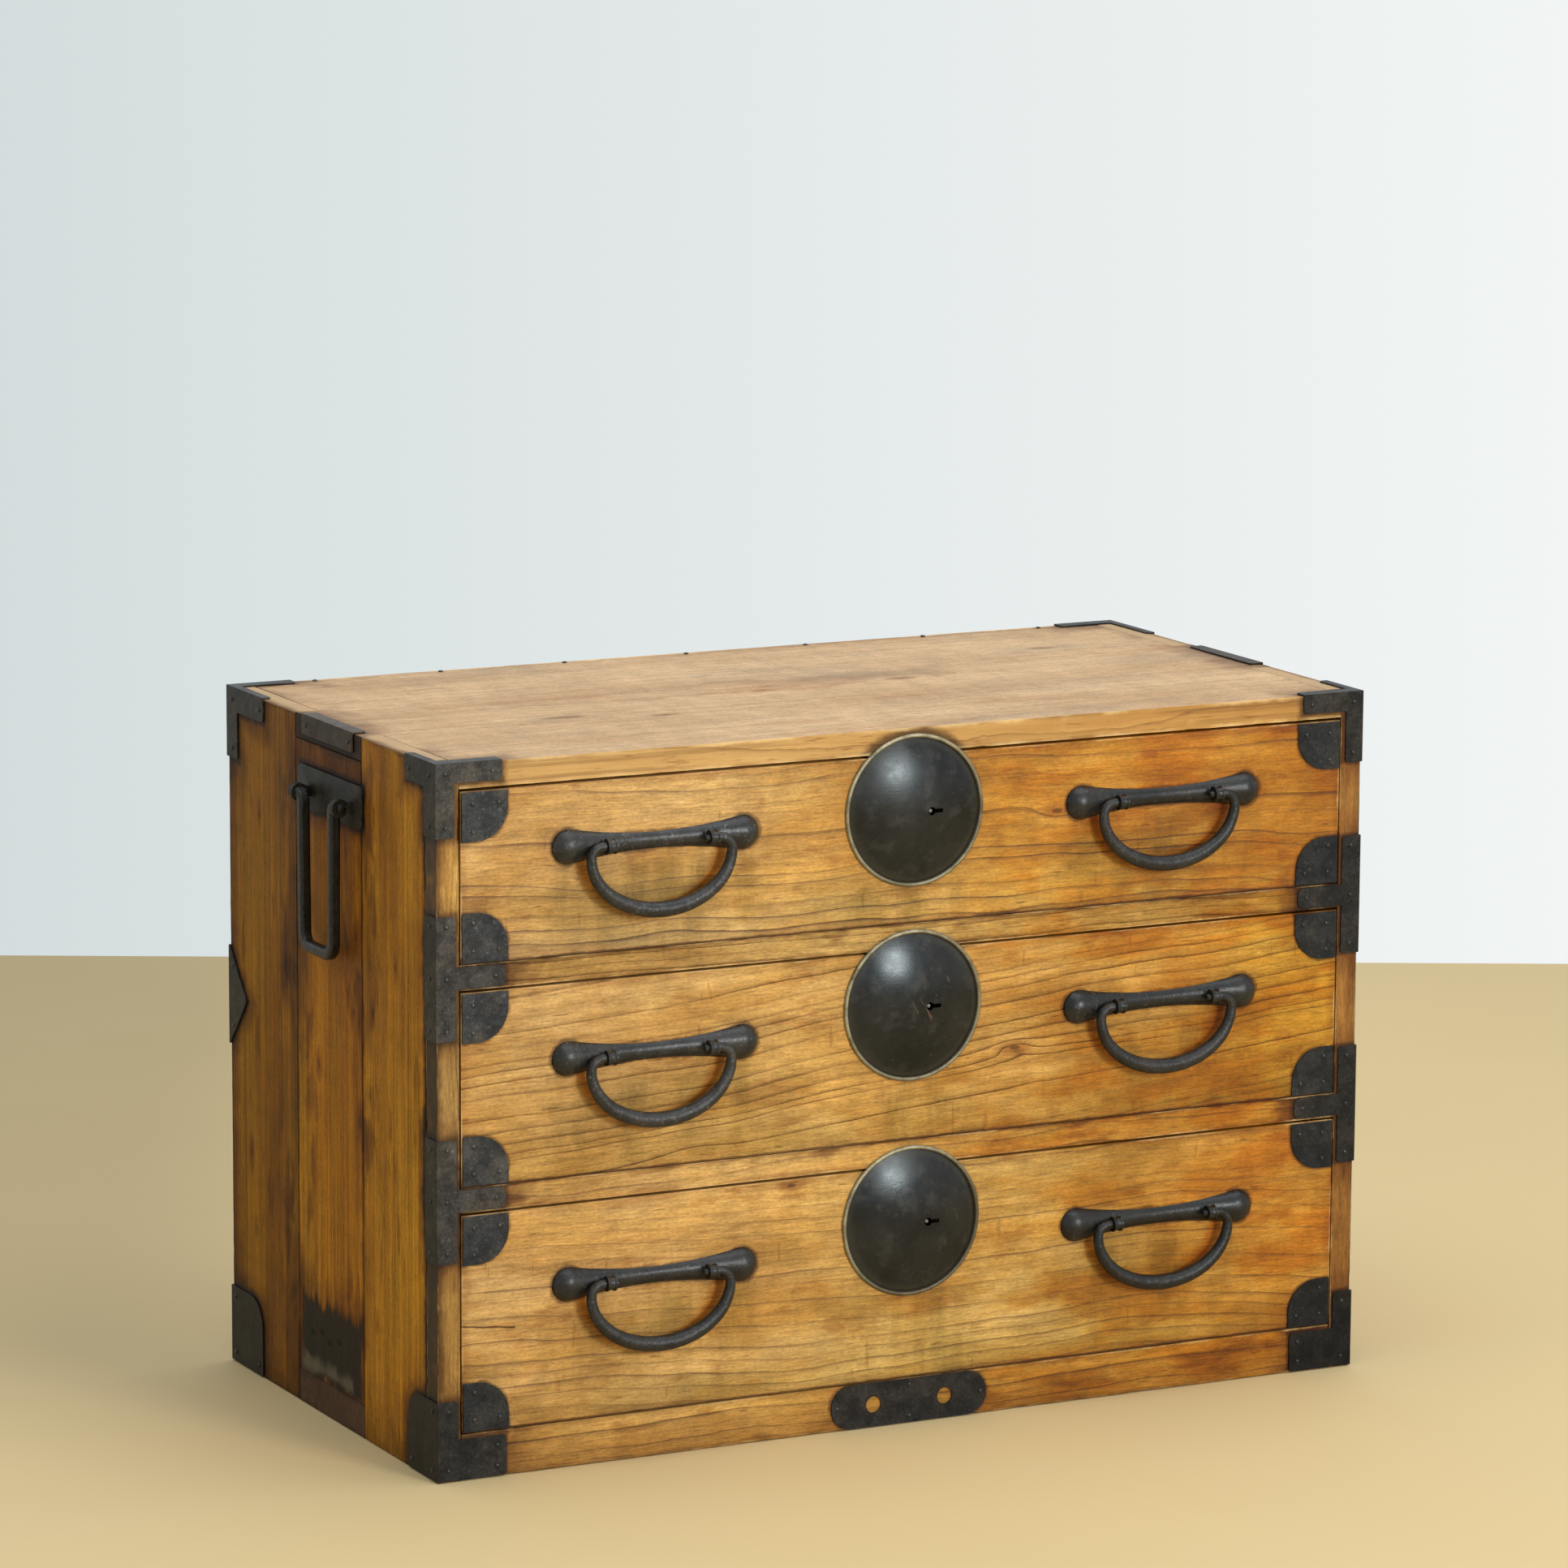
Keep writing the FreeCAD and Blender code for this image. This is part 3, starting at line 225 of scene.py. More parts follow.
class Wood(Paint):
    """Aged cedar, solid through the board: growth rings, fibres, dashes and mottling.
    lay names the axes that run along, across and through the board. pith is where the heart
    of the log lay, across and behind the board's middle, and lean tilts the rings."""

    def __init__(self, name, lay, lo, hi, seed, tones, pith=(-0.15, 0.06), spacing=0.0085,
                 lean=0, sway=0.045, knots=(), lines=0.85, fine=1):
        super().__init__(name)
        self.lo, self.hi = lo, hi
        coords = (self.x, self.y, self.z)
        order = ["xyz".index(letter) for letter in lay]
        middle = [(lo[i] + hi[i]) / 2 for i in order]
        run, across, deep = (coords[i] - at for i, at in zip(order, middle))
        self.lay = self.join(run + 3.7 * seed, across, deep)
        swing = self.drawn(self.lay, (2.4, 3.5, 5), 3, 0.5) - 0.5
        ripple = self.drawn(self.lay, (15, 50, 60), 2) - 0.5
        shiver = self.drawn(self.lay, (80, 260, 260), 3, 0.6) - 0.5
        off = across - pith[0] + run * lean + swing * sway + ripple * 0.0035 + shiver * 0.0012
        down = deep + pith[1] + swing * sway * 0.6
        radius = (off * off + down * down) ** 0.5
        hearts = None
        for u, w, size, heart in knots:
            du, dw = (run - (u - middle[0])) / (2.6 * size), (across - (w - middle[1])) / size
            away = du * du + dw * dw
            radius = radius + (1.7 if heart else 0.8) * size * 2.718 ** (away * -0.5)
            if heart:
                hearts = away if hearts is None else self.least(hearts, away)
        drift = self.cloud(1, 1, spot=self.join(radius * 40, 0.7 * seed, 0))
        turns = radius / spacing + drift * 2.2
        ring = self.maths("FRACT", turns)
        each = self.cloud(1, 0, spot=self.join((turns - ring) * 3.37, 1.9 * seed, 0.4))
        late = self.maths("FRACT", turns * 3.3)
        mottle = self.drawn(self.lay, (3.5, 12, 12), 4, 0.6)
        self.colour = self.blend(self.ramp(mottle, 0.34, 0.66), tones.rich, tones.pale)
        here = self.ramp(self.drawn(self.lay, (8, 34, 34), 2), 0.3, 0.62, 0.45)
        strong = self.ramp(each, 0.36, 0.6, 0.22) * here
        sharp = self.least(ring ** 8 * 1.7, 1)
        line = (sharp * strong * 0.86 + ring ** 2 * strong * 0.2 + late ** 6 * 0.2) * lines
        self.tint(line, tones.line)
        fibre = self.drawn(self.lay, (50, 520, 520), 3, 0.65)
        speck = self.drawn(self.lay, (260, 620, 620), 2, 0.6)
        streak = self.drawn(self.lay, (6, 110, 110), 3, 0.65)
        flame = self.drawn(self.lay, (60, 14, 14), 3)
        self.shade(fibre * (1.05 * fine) + speck * (0.85 * fine) + streak * 0.6 + flame * 0.36
                   + (1 - 0.95 * fine - 0.48))
        dash = self.drawn(self.lay, (34, 300, 300), 2, 0.5)
        self.cover(dash, 0.67, 0.76, tones.dash, 0.65)
        if hearts is not None:
            self.fade(hearts, 3, 0.1, (0.55, 0.4, 0.28), 0.75)
            self.cover(hearts, 0.24, 0.05, tones.dash, 0.9)
        self.relief = fibre * 0.5 - line * 0.7 + streak * 0.5 + speck * 0.2
        self.bare = self.colour
        self.line, self.mottle, self.streak, self.fibre = line, mottle, streak, fibre
        self.rag = self.cloud(85, 4, 0.6) - 0.5
        self.wave = self.cloud(22, 3, 0.6) - 0.5

    def edge(self):
        """How far a spot is from the nearest arris of the board."""
        first, second, third = [(high - low) / 2 - abs(at - (high + low) / 2) for at, low, high
                                in zip((self.x, self.y, self.z), self.lo, self.hi)]
        return self.most(self.least(first, second), self.least(self.most(first, second), third))

    def soot(self, beyond, reach=0.004, depth=0.8, haze=0.3):
        """Black from the iron, darkest against it and gone at reach, in a brown haze."""
        self.fade(beyond + self.wave * 0.04, 0.03, 0, (0.68, 0.56, 0.42), haze)
        self.fade(beyond + self.rag * 0.007, reach, 0.0002, (0.26, 0.21, 0.18), depth)

    def dirt(self, reach=0.007, depth=0.55, tone=(0.45, 0.36, 0.27)):
        """Grime in towards the arrises."""
        self.fade(self.edge() + self.wave * 0.016, reach, 0.0004, tone, depth)

    def wear(self, reach=0.002, depth=0.6, tone=(0.78, 0.5, 0.2), where=1):
        """Bare pale wood where an arris is rubbed, here and there along it."""
        wear_and_painted_light = self.ramp(self.cloud(14, 3, 0.6), 0.42, 0.6) * where
        edge = self.edge() + self.rag * 0.004
        self.tint(self.ramp(edge, reach, 0.0002, 0, depth) * wear_and_painted_light, tone)

    def smudges(self, low, high, tone, depth=0.6, sizes=(16, 50, 50)):
        spots = self.drawn(self.lay, sizes, 3, 0.55)
        self.fade(spots, low, high, tone, depth)

    def planed(self, rough=0.47, shine=0.25):
        roughness = self.mottle * 0.16 + self.fibre * 0.12 + (rough - 0.14)
        return self.done(roughness, self.relief, 0.35 * MM, IOR=1.45, Specular_IOR_Level=shine)


Tones = namedtuple("Tones", "pale rich line dash")
HONEY = Tones((0.7, 0.428, 0.145), (0.56, 0.302, 0.072), (0.155, 0.066, 0.018),
              (0.16, 0.065, 0.025))
AMBER = Tones((0.36, 0.172, 0.036), (0.25, 0.104, 0.018), (0.13, 0.05, 0.013),
              (0.11, 0.045, 0.016))
CHEEK = Tones((0.51, 0.232, 0.01), (0.38, 0.156, 0.005), (0.16, 0.06, 0.008),
              (0.1, 0.04, 0.012))
FADED = Tones((0.6, 0.395, 0.212), (0.49, 0.302, 0.15), (0.33, 0.185, 0.09),
              (0.2, 0.11, 0.065))
INNER = Tones((0.6, 0.43, 0.25), (0.48, 0.32, 0.165), (0.33, 0.19, 0.09), (0.22, 0.12, 0.06))
BARE = (0.8, 0.53, 0.22)
SMUT = (0.014, 0.012, 0.01)
SOOTY = (0.36, 0.28, 0.22)


def front_wood(name, node, seed, **rings):
    """The waxed wood of the front. It is deep orange to the right, where the wax is thick."""
    wood = Wood(name, "xzy", *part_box(node), seed, HONEY, **rings)
    x = wood.x + wood.wave * 0.3
    for start, end, tone in ((-0.08, -0.3, (0.93, 0.92, 0.96)), (-0.24, 0.06, (0.9, 0.83, 0.62)),
                             (0, 0.26, (0.88, 0.76, 0.46))):
        wood.fade(x, start, end, tone)
    glow = wood.drawn(wood.lay, (9, 26, 26), 4, 0.6)
    wood.stain(wood.ramp(glow, 0.46, 0.6) * wood.ramp(x, -0.1, 0.2), (0.93, 0.74, 0.4))
    wood.stain(wood.ramp(glow, 0.5, 0.38) * wood.ramp(x, 0, 0.2), (1.06, 1.14, 1.5))
    wood.fade(wood.x + wood.wave * 0.1, 0.26, 0.36, (0.92, 0.84, 0.58))
    for smudge in ((0.52, 0.74, (0.6, 0.63, 0.48), 0.55, (6, 15, 15)),
                   (0.58, 0.7, (0.66, 0.5, 0.34), 0.55, (22, 60, 60)),
                   (0.46, 0.6, (0.84, 0.84, 0.82), 0.8, (14, 42, 42)),
                   (0.54, 0.36, (1.12, 1.15, 1.22), 1, (18, 55, 55)),
                   (0.5, 0.6, (0.84, 0.78, 0.66), 0.9, (8, 22, 22)),
                   (0.5, 0.38, (1.1, 1.13, 1.16), 0.9, (7, 20, 20))):
        wood.smudges(*smudge)
    return wood


def beyond_plate(wood, u, v, turn):
    """How far outside a plate's corner, u and v past its two sides, with its corner rounded."""
    across, up = wood.most(u + turn, 0), wood.most(v + turn, 0)
    return (across * across + up * up) ** 0.5 - turn


def drawer_wood(number, **rings):
    """A drawer front, dark about its own irons and stained below them. The shadows of its bails
    and the shade in the gap along its foot are painted on, and its pale arrises are partly a
    painted highlight.
    """
    name = "drawer_%d_" % number
    wood = front_wood(name + "front_wood", name + "front", number, **rings)
    ramp, stain, fade, rag = wood.ramp, wood.stain, wood.fade, wood.rag
    x, z, side = wood.x, wood.z, abs(wood.x)
    lo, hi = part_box(name + "corner_irons")
    middle, half = (lo.z + hi.z) / 2, (hi.z - lo.z) / 2
    plate = 0.0405
    corners = beyond_plate(wood, hi.x - plate - side, half - plate - abs(z - middle), 0.028)
    lo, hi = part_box(name + "lock_plate")
    dome_level = (lo.z + hi.z) / 2
    dome = wood.beyond_disc(x, z, (0, dome_level), (hi.x - lo.x) / 2 + 0.0015)
    level = level_of(name + "handle_plates")
    along = abs(side - BONE_OUT)
    bone = wood.least(wood.beyond_disc(along, z, (BONE_BALL, level), BONE_BALL_R),
                      wood.beyond_box(along, z, (0, level), (BONE_BALL, BONE_WAIST)))
    streaks = wood.drawn(wood.spot, (34, 1, 8), 4, 0.6)
    below = ramp(level - z, 0, 0.03) * ramp(level - z, 0.12, 0.04)
    under = ramp(along, 0.112, 0.075) * below
    fall = ramp(dome_level - z, 0.045, 0.07) * ramp(side, 0.08, 0.03)
    shift = 0.003       # how far the painted shadow rings of the bails stand left of them and below them
    hung = wood.least(abs(x + (BONE_OUT + shift)), abs(x - (BONE_OUT - shift))) / BAIL_HALF
    fallen = (level - shift - z) / BAIL_DROP
    rim = abs((hung * hung + fallen * fallen) ** 0.5 - 1) * BAIL_HALF
    # painted shadow: a warm orange ring on the wood where each bail's shadow falls
    wear_and_painted_light = ramp(rim + rag * 0.007, 0.011, 0.001) * ramp(fallen, 0, 0.15)
    stain(wear_and_painted_light, (0.82, 0.52, 0.22))
    drips = ramp(streaks, 0.42, 0.66, 0, 0.85) * wood.most(under, fall)
    stain(drips, (0.64, 0.65, 0.52))
    stain(under * 0.35, (0.78, 0.76, 0.62))
    foot = z - wood.lo.z
    low_tone = (1.03, 1.22, 1.75) if number == 1 else (0.76, 0.79, 0.66)
    fade(foot + wood.wave * 0.03, 0.05, 0, low_tone, 0.7)
    if number == 1:
        fade(x, -0.16, -0.03, (0.92, 0.85, 0.66))
        stain(ramp(x, 0.02, 0.09) * ramp(x, 0.24, 0.16), (1.13, 1.13, 0.95))
    if number == 2:
        fade(x, 0.27, 0.34, (1.12, 1.26, 1.1))
    if number == 3:
        stain(ramp(x, -0.16, 0) * ramp(x, 0.3, 0.2), (0.97, 1.08, 1.26))
        slope = z + x * 0.11 + rag * 0.003
        split = wood.beyond_box(x, slope, (-0.386, 0.0832), (0.024, 0.0001))
        fade(split, 0.0012, 0.0002, (0.16, 0.09, 0.05), 0.92)
    cuts = wood.drawn(wood.spot, (140, 1, 22), 2, 0.5)
    stain(ramp(cuts, 0.69, 0.75) * 0.4, (0.5, 0.38, 0.24))
    wood.dirt(0.009, 0.5, (0.6, 0.46, 0.33))
    # painted shade: a dark brown line along the foot of the front, for the shade in the gap
    # beneath it
    fade(foot + rag * 0.0028, 0.0024, 0.001, (0.22, 0.14, 0.09), 0.85)
    wood.soot(corners, 0.0028, 0.75, 0.3)
    wood.soot(wood.least(dome, bone), 0.0034, 0.8, 0.22)
    # the pale arrises are partly rubbed wood and partly a painted highlight where the top arris
    # catches the light; none at the foot
    wood.wear(0.0018, 0.55, BARE, ramp(foot, 0.004, 0.008))
    inside = ramp(wood.y - wood.lo.y + rag * 0.004, 0.008, 0.014)
    wood.colour = wood.blend(inside, wood.colour, wood.bare)
    stain(inside, (0.72, 0.8, 1.25))
    return wood.planed(0.44, 0.3)


def rail_wood(name, node, seed, **rings):
    """A front rail, sooty by its T irons, with painted shade along its top edge."""
    wood = front_wood(name, node, seed, **rings)
    if node == "rail_upper":
        wood.stain(1, (0.88, 0.94, 1.08))
    wood.smudges(0.56, 0.68, (0.4, 0.29, 0.22), 0.75, (13, 40, 40))
    wood.dirt(0.005, 0.6, (0.5, 0.38, 0.27))
    # painted shade: a dark line along the top of the rail, for the shade in the gap under the
    # drawer above
    wood.fade(wood.hi.z - wood.z + wood.rag * 0.004, 0.0022, 0.0006, (0.3, 0.2, 0.13), 0.8)
    arm = WIDE / 2 - TEE_REACH - abs(wood.x)
    wood.fade(arm + wood.wave * 0.05, 0.03, 0, (0.34, 0.24, 0.17), 0.8)
    wood.soot(arm, 0.006, 0.85)
    wood.wear(0.0018, 0.55, BARE)
    return wood.planed(0.48)


def bottom_rail_wood():
    """The sill, grimy at the foot and sooty by its strap."""
    wood = front_wood("bottom_rail_wood", "rail_bottom", 23, spacing=0.0095, pith=(-0.1, 0.04))
    x, z = wood.x, wood.z
    foot = WIDE / 2 - FOOT_REACH - abs(x)
    holes = wood.beyond_disc(abs(x), z, (SILL_HOLE_AT, SILL_LEVEL), SILL_HOLE_R)
    ends = wood.most(abs(x) - SILL_HALF, 0)
    sill = wood.most(wood.beyond_disc(ends, z, (0, SILL_LEVEL), SILL_R), holes * -30)
    wood.stain(1, (0.85, 0.82, 0.66))
    wood.fade(z + wood.wave * 0.02, 0.036, 0.004, (0.62, 0.5, 0.38), 0.55)
    wood.smudges(0.56, 0.7, (0.42, 0.31, 0.22), 0.7, (9, 40, 40))
    wood.dirt(0.006, 0.5)
    wood.fade(foot + wood.wave * 0.05, 0.024, 0, (0.45, 0.33, 0.24), 0.6)
    wood.soot(wood.least(foot, sill), 0.004, 0.8)
    wood.wear(0.0024, 0.65, (0.74, 0.46, 0.17))
    return wood.planed(0.5)


def beyond_tees(z):
    """How far above or below the T irons."""
    return z.graph.least(*[abs(z - level) - TEE_HALF for level in TEES])


def stile_wood(side):
    """A front stile. Hands and soot have darkened it, most at its outer arris."""
    lo, hi = (Vector(corner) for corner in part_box("front_stiles"))
    if side < 0:
        hi.x, word, tones, reach, depth = lo.x + STILE, "left", HONEY, 0.008, 0.9
    else:
        lo.x, word, tones, reach, depth = hi.x - STILE, "right", AMBER, 0.004, 0.35
    wood = Wood("stile_wood_" + word, "zxy", lo, hi, 31 + side, tones, pith=(0.08, 0.03),
                spacing=0.0045, lean=0.01, lines=0.7)
    z = wood.z
    beyond = wood.least(beyond_tees(z), CAP_FOOT - z, z - FOOT_TOP)
    outer = WIDE / 2 - abs(wood.x)
    wood.fade(outer + wood.wave * 0.018, 0.008, 0.001, (0.36, 0.29, 0.23), depth)
    flank = wood.ramp(outer + wood.rag * 0.0012, 0.0013, 0.0003)
    wood.tint(flank * wood.ramp(wood.wave + wood.rag, -0.5, 0.1, 0.97, 0.72), SMUT)
    wood.smudges(0.5, 0.64, (0.55, 0.42, 0.3), 0.6, (10, 60, 60))
    if side < 0:
        wood.fade(z + wood.wave * 0.04, 0.43, 0.36, (0.55, 0.53, 0.46))
        wood.fade(z, 0.44, 0.48, (1.06, 1.16, 1.2))
    wood.fade(beyond + wood.wave * 0.03, 0.028, 0, (0.55, 0.42, 0.32), 0.55)
    wood.soot(beyond, reach, 0.85)
    wood.wear(0.0014, 0.45, (0.62, 0.38, 0.15))
    return wood.planed(0.5)


def side_wood(side, place):
    """A plank of a side, grain upright, with soot at its joints and about the irons."""
    word = "left" if side < 0 else "right"
    lo, hi = (Vector(corner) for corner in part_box("side_panel_" + word))
    if place == "front":
        hi.y, seed, tone = FRONT_JOINT, 41, (1, 1, 1)
        knots = ((0.411, -0.135, 0.0036, 1), (0.364, -0.087, 0.004, 1), (0.22, -0.15, 0.008, 0))
    elif place == "middle":
        lo.y, hi.y, seed, tone = FRONT_JOINT, BACK_JOINT, 47, (0.93, 0.85, 0.78)
        lo.z, hi.z = 0.028, 0.569
        knots = ((0.422, -0.054, 0.0048, 1), (0.267, -0.06, 0.0056, 1), (0.3, 0.025, 0.0045, 1),
                 (0.36, 0, 0.009, 0))
    else:
        lo.y, seed, tone = BACK_JOINT, 53, (0.62, 0.57, 0.3)
        knots = ((0.37, 0.097, 0.008, 1), (0.193, 0.173, 0.0054, 1), (0.49, 0.15, 0.004, 1))
    wood = Wood("side_wood_%s_%s" % (place, word), "zyx", lo, hi, seed + side, CHEEK,
                pith=(0.16, 0.03), spacing=0.0042, lean=0.012, sway=0.03, knots=knots, lines=0.7,
                fine=1.1)
    fade, wave, least, drawn, cover = wood.fade, wood.wave, wood.least, wood.drawn, wood.cover
    y, z = wood.y, wood.z
    wood.stain(1, tone)
    stripes = drawn(wood.lay, (1.5, 260, 60), 2, 0.5)
    wood.shade(stripes * 1.1 + 0.46)
    wood.smudges(0.46, 0.68, (0.55, 0.44, 0.34), 0.6, (3, 20, 20))
    wood.smudges(0.6, 0.7, (0.34, 0.23, 0.15), 0.5, (12, 60, 60))
    joints = least(abs(y - FRONT_JOINT), abs(y - BACK_JOINT))
    patchy = drawn(wood.spot, (1, 14, 5), 3, 0.6)
    fade(joints + (0.5 - patchy) * 0.17, 0.024, -0.006, SOOTY, 0.72)
    smoke = drawn(wood.spot, (1, 34, 16), 4, 0.6)
    wood.stain(wood.ramp(smoke, 0.5, 0.66) * wood.ramp(joints, 0.06, 0.012, 0, 0.85), SOOTY)
    olive = drawn(wood.spot, (1, 26, 3), 3, 0.55)
    fade(olive, 0.48, 0.66, (0.86, 0.96, 0.9))
    fade(joints, 0.0022, 0.0004, (0.34, 0.26, 0.2), 0.5)
    front, back = y + DEEP / 2, DEEP / 2 - y
    long_arms = least(front - CAP_FLANK[0], back - CAP_FLANK[1])
    caps = least(wood.most(0.57 - z, long_arms),
                 wood.most(CAP_FOOT - z, least(front, back) - 0.022))
    bridge = wood.beyond_box(y, z, (BRIDGE_AT, 0.584), (BRIDGE_HALF, 0.01))
    handle = wood.beyond_box(y, z, (-0.006, 0.531), (0.066, 0.018))
    legs = wood.beyond_box(y, z, (-0.006, 0.46), (0.036, 0.06))
    feet = least(*[beyond_plate(wood, u, z - FOOT_TOP, 0.026)
                   for u in (front - 0.058, back - 0.068)])
    tees = wood.most(front - 0.0215, beyond_tees(z))
    wedge = (back / 0.038 + abs(z - 0.323) / 0.043 - 1) * 0.0285
    fade(legs + wave * 0.05, 0.022, -0.012, (0.56, 0.45, 0.36), 0.5)
    fade(back + wave * 0.05, 0.04, 0, (0.36, 0.29, 0.25), 0.75)
    fade(z + wave * 0.12, 0.14, 0.01, (0.62, 0.52, 0.44), 0.45)
    fade(z + wave * 0.06, 0.036, 0, (0.4, 0.36, 0.3), 0.75)
    fade(front + wave * 0.014, 0.027, 0.02, (0.19, 0.15, 0.13), 0.92)
    iron = least(caps, bridge, handle, feet, tees, wedge)
    fade(iron + wave * 0.04, 0.024, 0, (0.4, 0.32, 0.25), 0.75)
    wood.soot(iron, 0.007, 0.85)
    cover(iron + wood.rag * 0.012, 0.006, -0.001, SMUT, 0.75)
    wander = wave * 0.03 + wood.rag * 0.01
    fade(front + wander, 0.036, 0.022, (0.46, 0.37, 0.29), 0.8)
    cover(front + wander * 0.8, 0.0275, 0.0215, SMUT, 0.9)
    if place == "middle":
        fade(z + wave * 0.05, 0.53, 0.566, (0.34, 0.25, 0.19), 0.85)
    if place == "middle" and side < 0:      # the mark of a lost strap
        strap = wood.beyond_box(y, z, (0, 0.062), (0.06, 0.033))
        streaks = drawn(wood.spot, (1, 90, 9), 3, 0.6) - 0.5
        fade(strap + streaks * 0.1, 0.03, -0.004, (0.42, 0.32, 0.24), 0.75)
        fade(strap + streaks * 0.045, 0.008, -0.004, (0.25, 0.2, 0.17), 0.8)
        cover(strap + streaks * 0.03 + wood.rag * 0.01, 0.002, -0.005, SMUT, 0.92)
        bare = wood.beyond_box(y, z, (0.006, 0.038), (0.048, 0.004))
        cover(bare + wave * 0.05, 0.006, -0.006, (0.19, 0.165, 0.11), 0.5)
        narrow = 0.55       # how high the nail slots are for their length
        # painted shade: the nail slots are near-black marks for the shade inside their holes
        slots = [wood.beyond_disc(y * narrow, z, (at * narrow, up), 0.003) for at, up in
                 ((0.041, 0.066), (0.022, 0.07), (0.006, 0.0645), (-0.014, 0.07))]
        cover(least(*slots), 0.0004, -0.0006, (0.002, 0.002, 0.002), 0.95)
    wood.dirt(0.004, 0.6, (0.35, 0.27, 0.2))
    ends = wood.ramp(z, HIGH - 0.0016, HIGH - 0.0008)
    wood.tint(ends * 0.9, wood.blend(wood.mottle, (0.44, 0.28, 0.135), (0.62, 0.42, 0.23)))
    outer = wood.ramp(WIDE / 2 - abs(wood.x) + wave * 0.02, 0.008, 0, 0, 0.8)
    wood.stain(ends * outer, SOOTY)
    return wood.planed(0.5, 0.12)


def tenon_dirt(wood):
    """Blackens the ends of a board that show at the chest's sides."""
    ends = wood.ramp(abs(wood.x) + wood.rag * 0.0004, WIDE / 2 - 0.0012, WIDE / 2 - 0.0006)
    wood.stain(ends, wood.blend(wood.streak, (0.07, 0.045, 0.034), (0.2, 0.14, 0.1)))


def top_wood():
    """The top: faded and dry above, waxed honey along its front arris."""
    lo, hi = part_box("top_board")
    knots = ((-0.237, -0.048, 0.005, 1), (-0.157, -0.072, 0.004, 1), (0.109, 0.014, 0.005, 1),
             (-0.028, 0.006, 0.0035, 1), (0.3, 0.11, 0.004, 1))
    wood = Wood("top_wood", "xyz", lo, hi, 5, FADED, pith=(0.02, 0.12), spacing=0.0075, sway=0.05,
                knots=knots, lines=0.46)
    least, ramp, fade = wood.least, wood.ramp, wood.fade
    x, y, z = wood.x, wood.y, wood.z
    blue = wood.drawn(wood.spot, (5, 14, 1), 4, 0.6)
    fade(blue, 0.55, 0.72, (0.76, 0.79, 0.86), 0.75)
    wood.smudges(0.54, 0.72, (0.8, 0.66, 0.56), 0.6, (5, 22, 22))
    for place, half in (((0.09, 0.045), (0.07, 0.012)), ((0.3, 0.11), (0.03, 0.008)),
                        ((-0.25, -0.05), (0.02, 0.006))):
        pool = wood.beyond_box(x, y, place, half) + wood.wave * 0.05
        fade(pool, 0.02, -0.012, (0.58, 0.64, 0.74), 0.45)
    side, front, back = WIDE / 2 - abs(x), y + DEEP / 2, DEEP / 2 - y
    bridge = wood.most(side - 0.012, abs(y - BRIDGE_AT) - BRIDGE_HALF)
    long_arms = least(front - CAP_FLANK[0], back - CAP_FLANK[1])
    caps = least(wood.most(side - CAP_REACH, least(front, back) - CAP_WRAP),
                 wood.most(side - 0.007, long_arms))
    iron = least(bridge, caps)
    fade(iron + wood.wave * 0.06, 0.034, 0, (0.48, 0.44, 0.44), 0.85)
    fade(side + wood.rag * 0.015, 0.01, 0, SOOTY, 0.75)
    wood.soot(iron, 0.004, 0.75)
    fade(back + wood.wave * 0.02, 0.016, 0, (0.6, 0.5, 0.45), 0.5)
    warm = ramp(y, -0.214, -0.2166)
    wood.tint(warm * 0.85, wood.blend(wood.streak, (0.41, 0.19, 0.04), (0.8, 0.51, 0.175)))
    wood.stain(warm * ramp(x, -0.2, 0.3), (0.82, 0.72, 0.55))
    lock = wood.beyond_disc(x, z, (0, 0.521), 0.0657)
    cap_arm = wood.most(side - CAP_REACH, 0.574 - z)
    marks = wood.drawn(wood.lay, (36, 220, 330), 3, 0.6)
    grain = wood.drawn(wood.lay, (3.5, 150, 210), 2, 0.5)
    wood.tint(ramp(grain, 0.53, 0.64) * warm * 0.36, HONEY.line)
    wood.tint(least(wood.line * 1.3, 0.6) * warm, HONEY.line)
    wood.stain(ramp(marks, 0.6, 0.72) * warm * 0.6, (0.42, 0.29, 0.18))
    sooty = ramp(least(lock, cap_arm) + wood.rag * 0.008, 0.007, 0, 0, 0.9)
    wood.stain(sooty * warm, (0.18, 0.15, 0.13))
    tenon_dirt(wood)
    wood.wear(0.004, 0.65, (0.88, 0.62, 0.29), ramp(side, 0.002, 0.005))
    return wood.planed(0.6)


def plain_wood(name, lay, lo, hi, seed, tones=INNER, dull=1, **rings):
    """Unfinished boards inside and behind."""
    wood = Wood(name, lay, lo, hi, seed, tones, **rings)
    wood.shade(dull)
    wood.smudges(0.5, 0.72, (0.62, 0.52, 0.42), 0.7, (4, 14, 14))
    wood.dirt(0.005, 0.5)
    if name == "bottom_board_wood":
        tenon_dirt(wood)
    return wood.planed(0.66)


# ---- metal

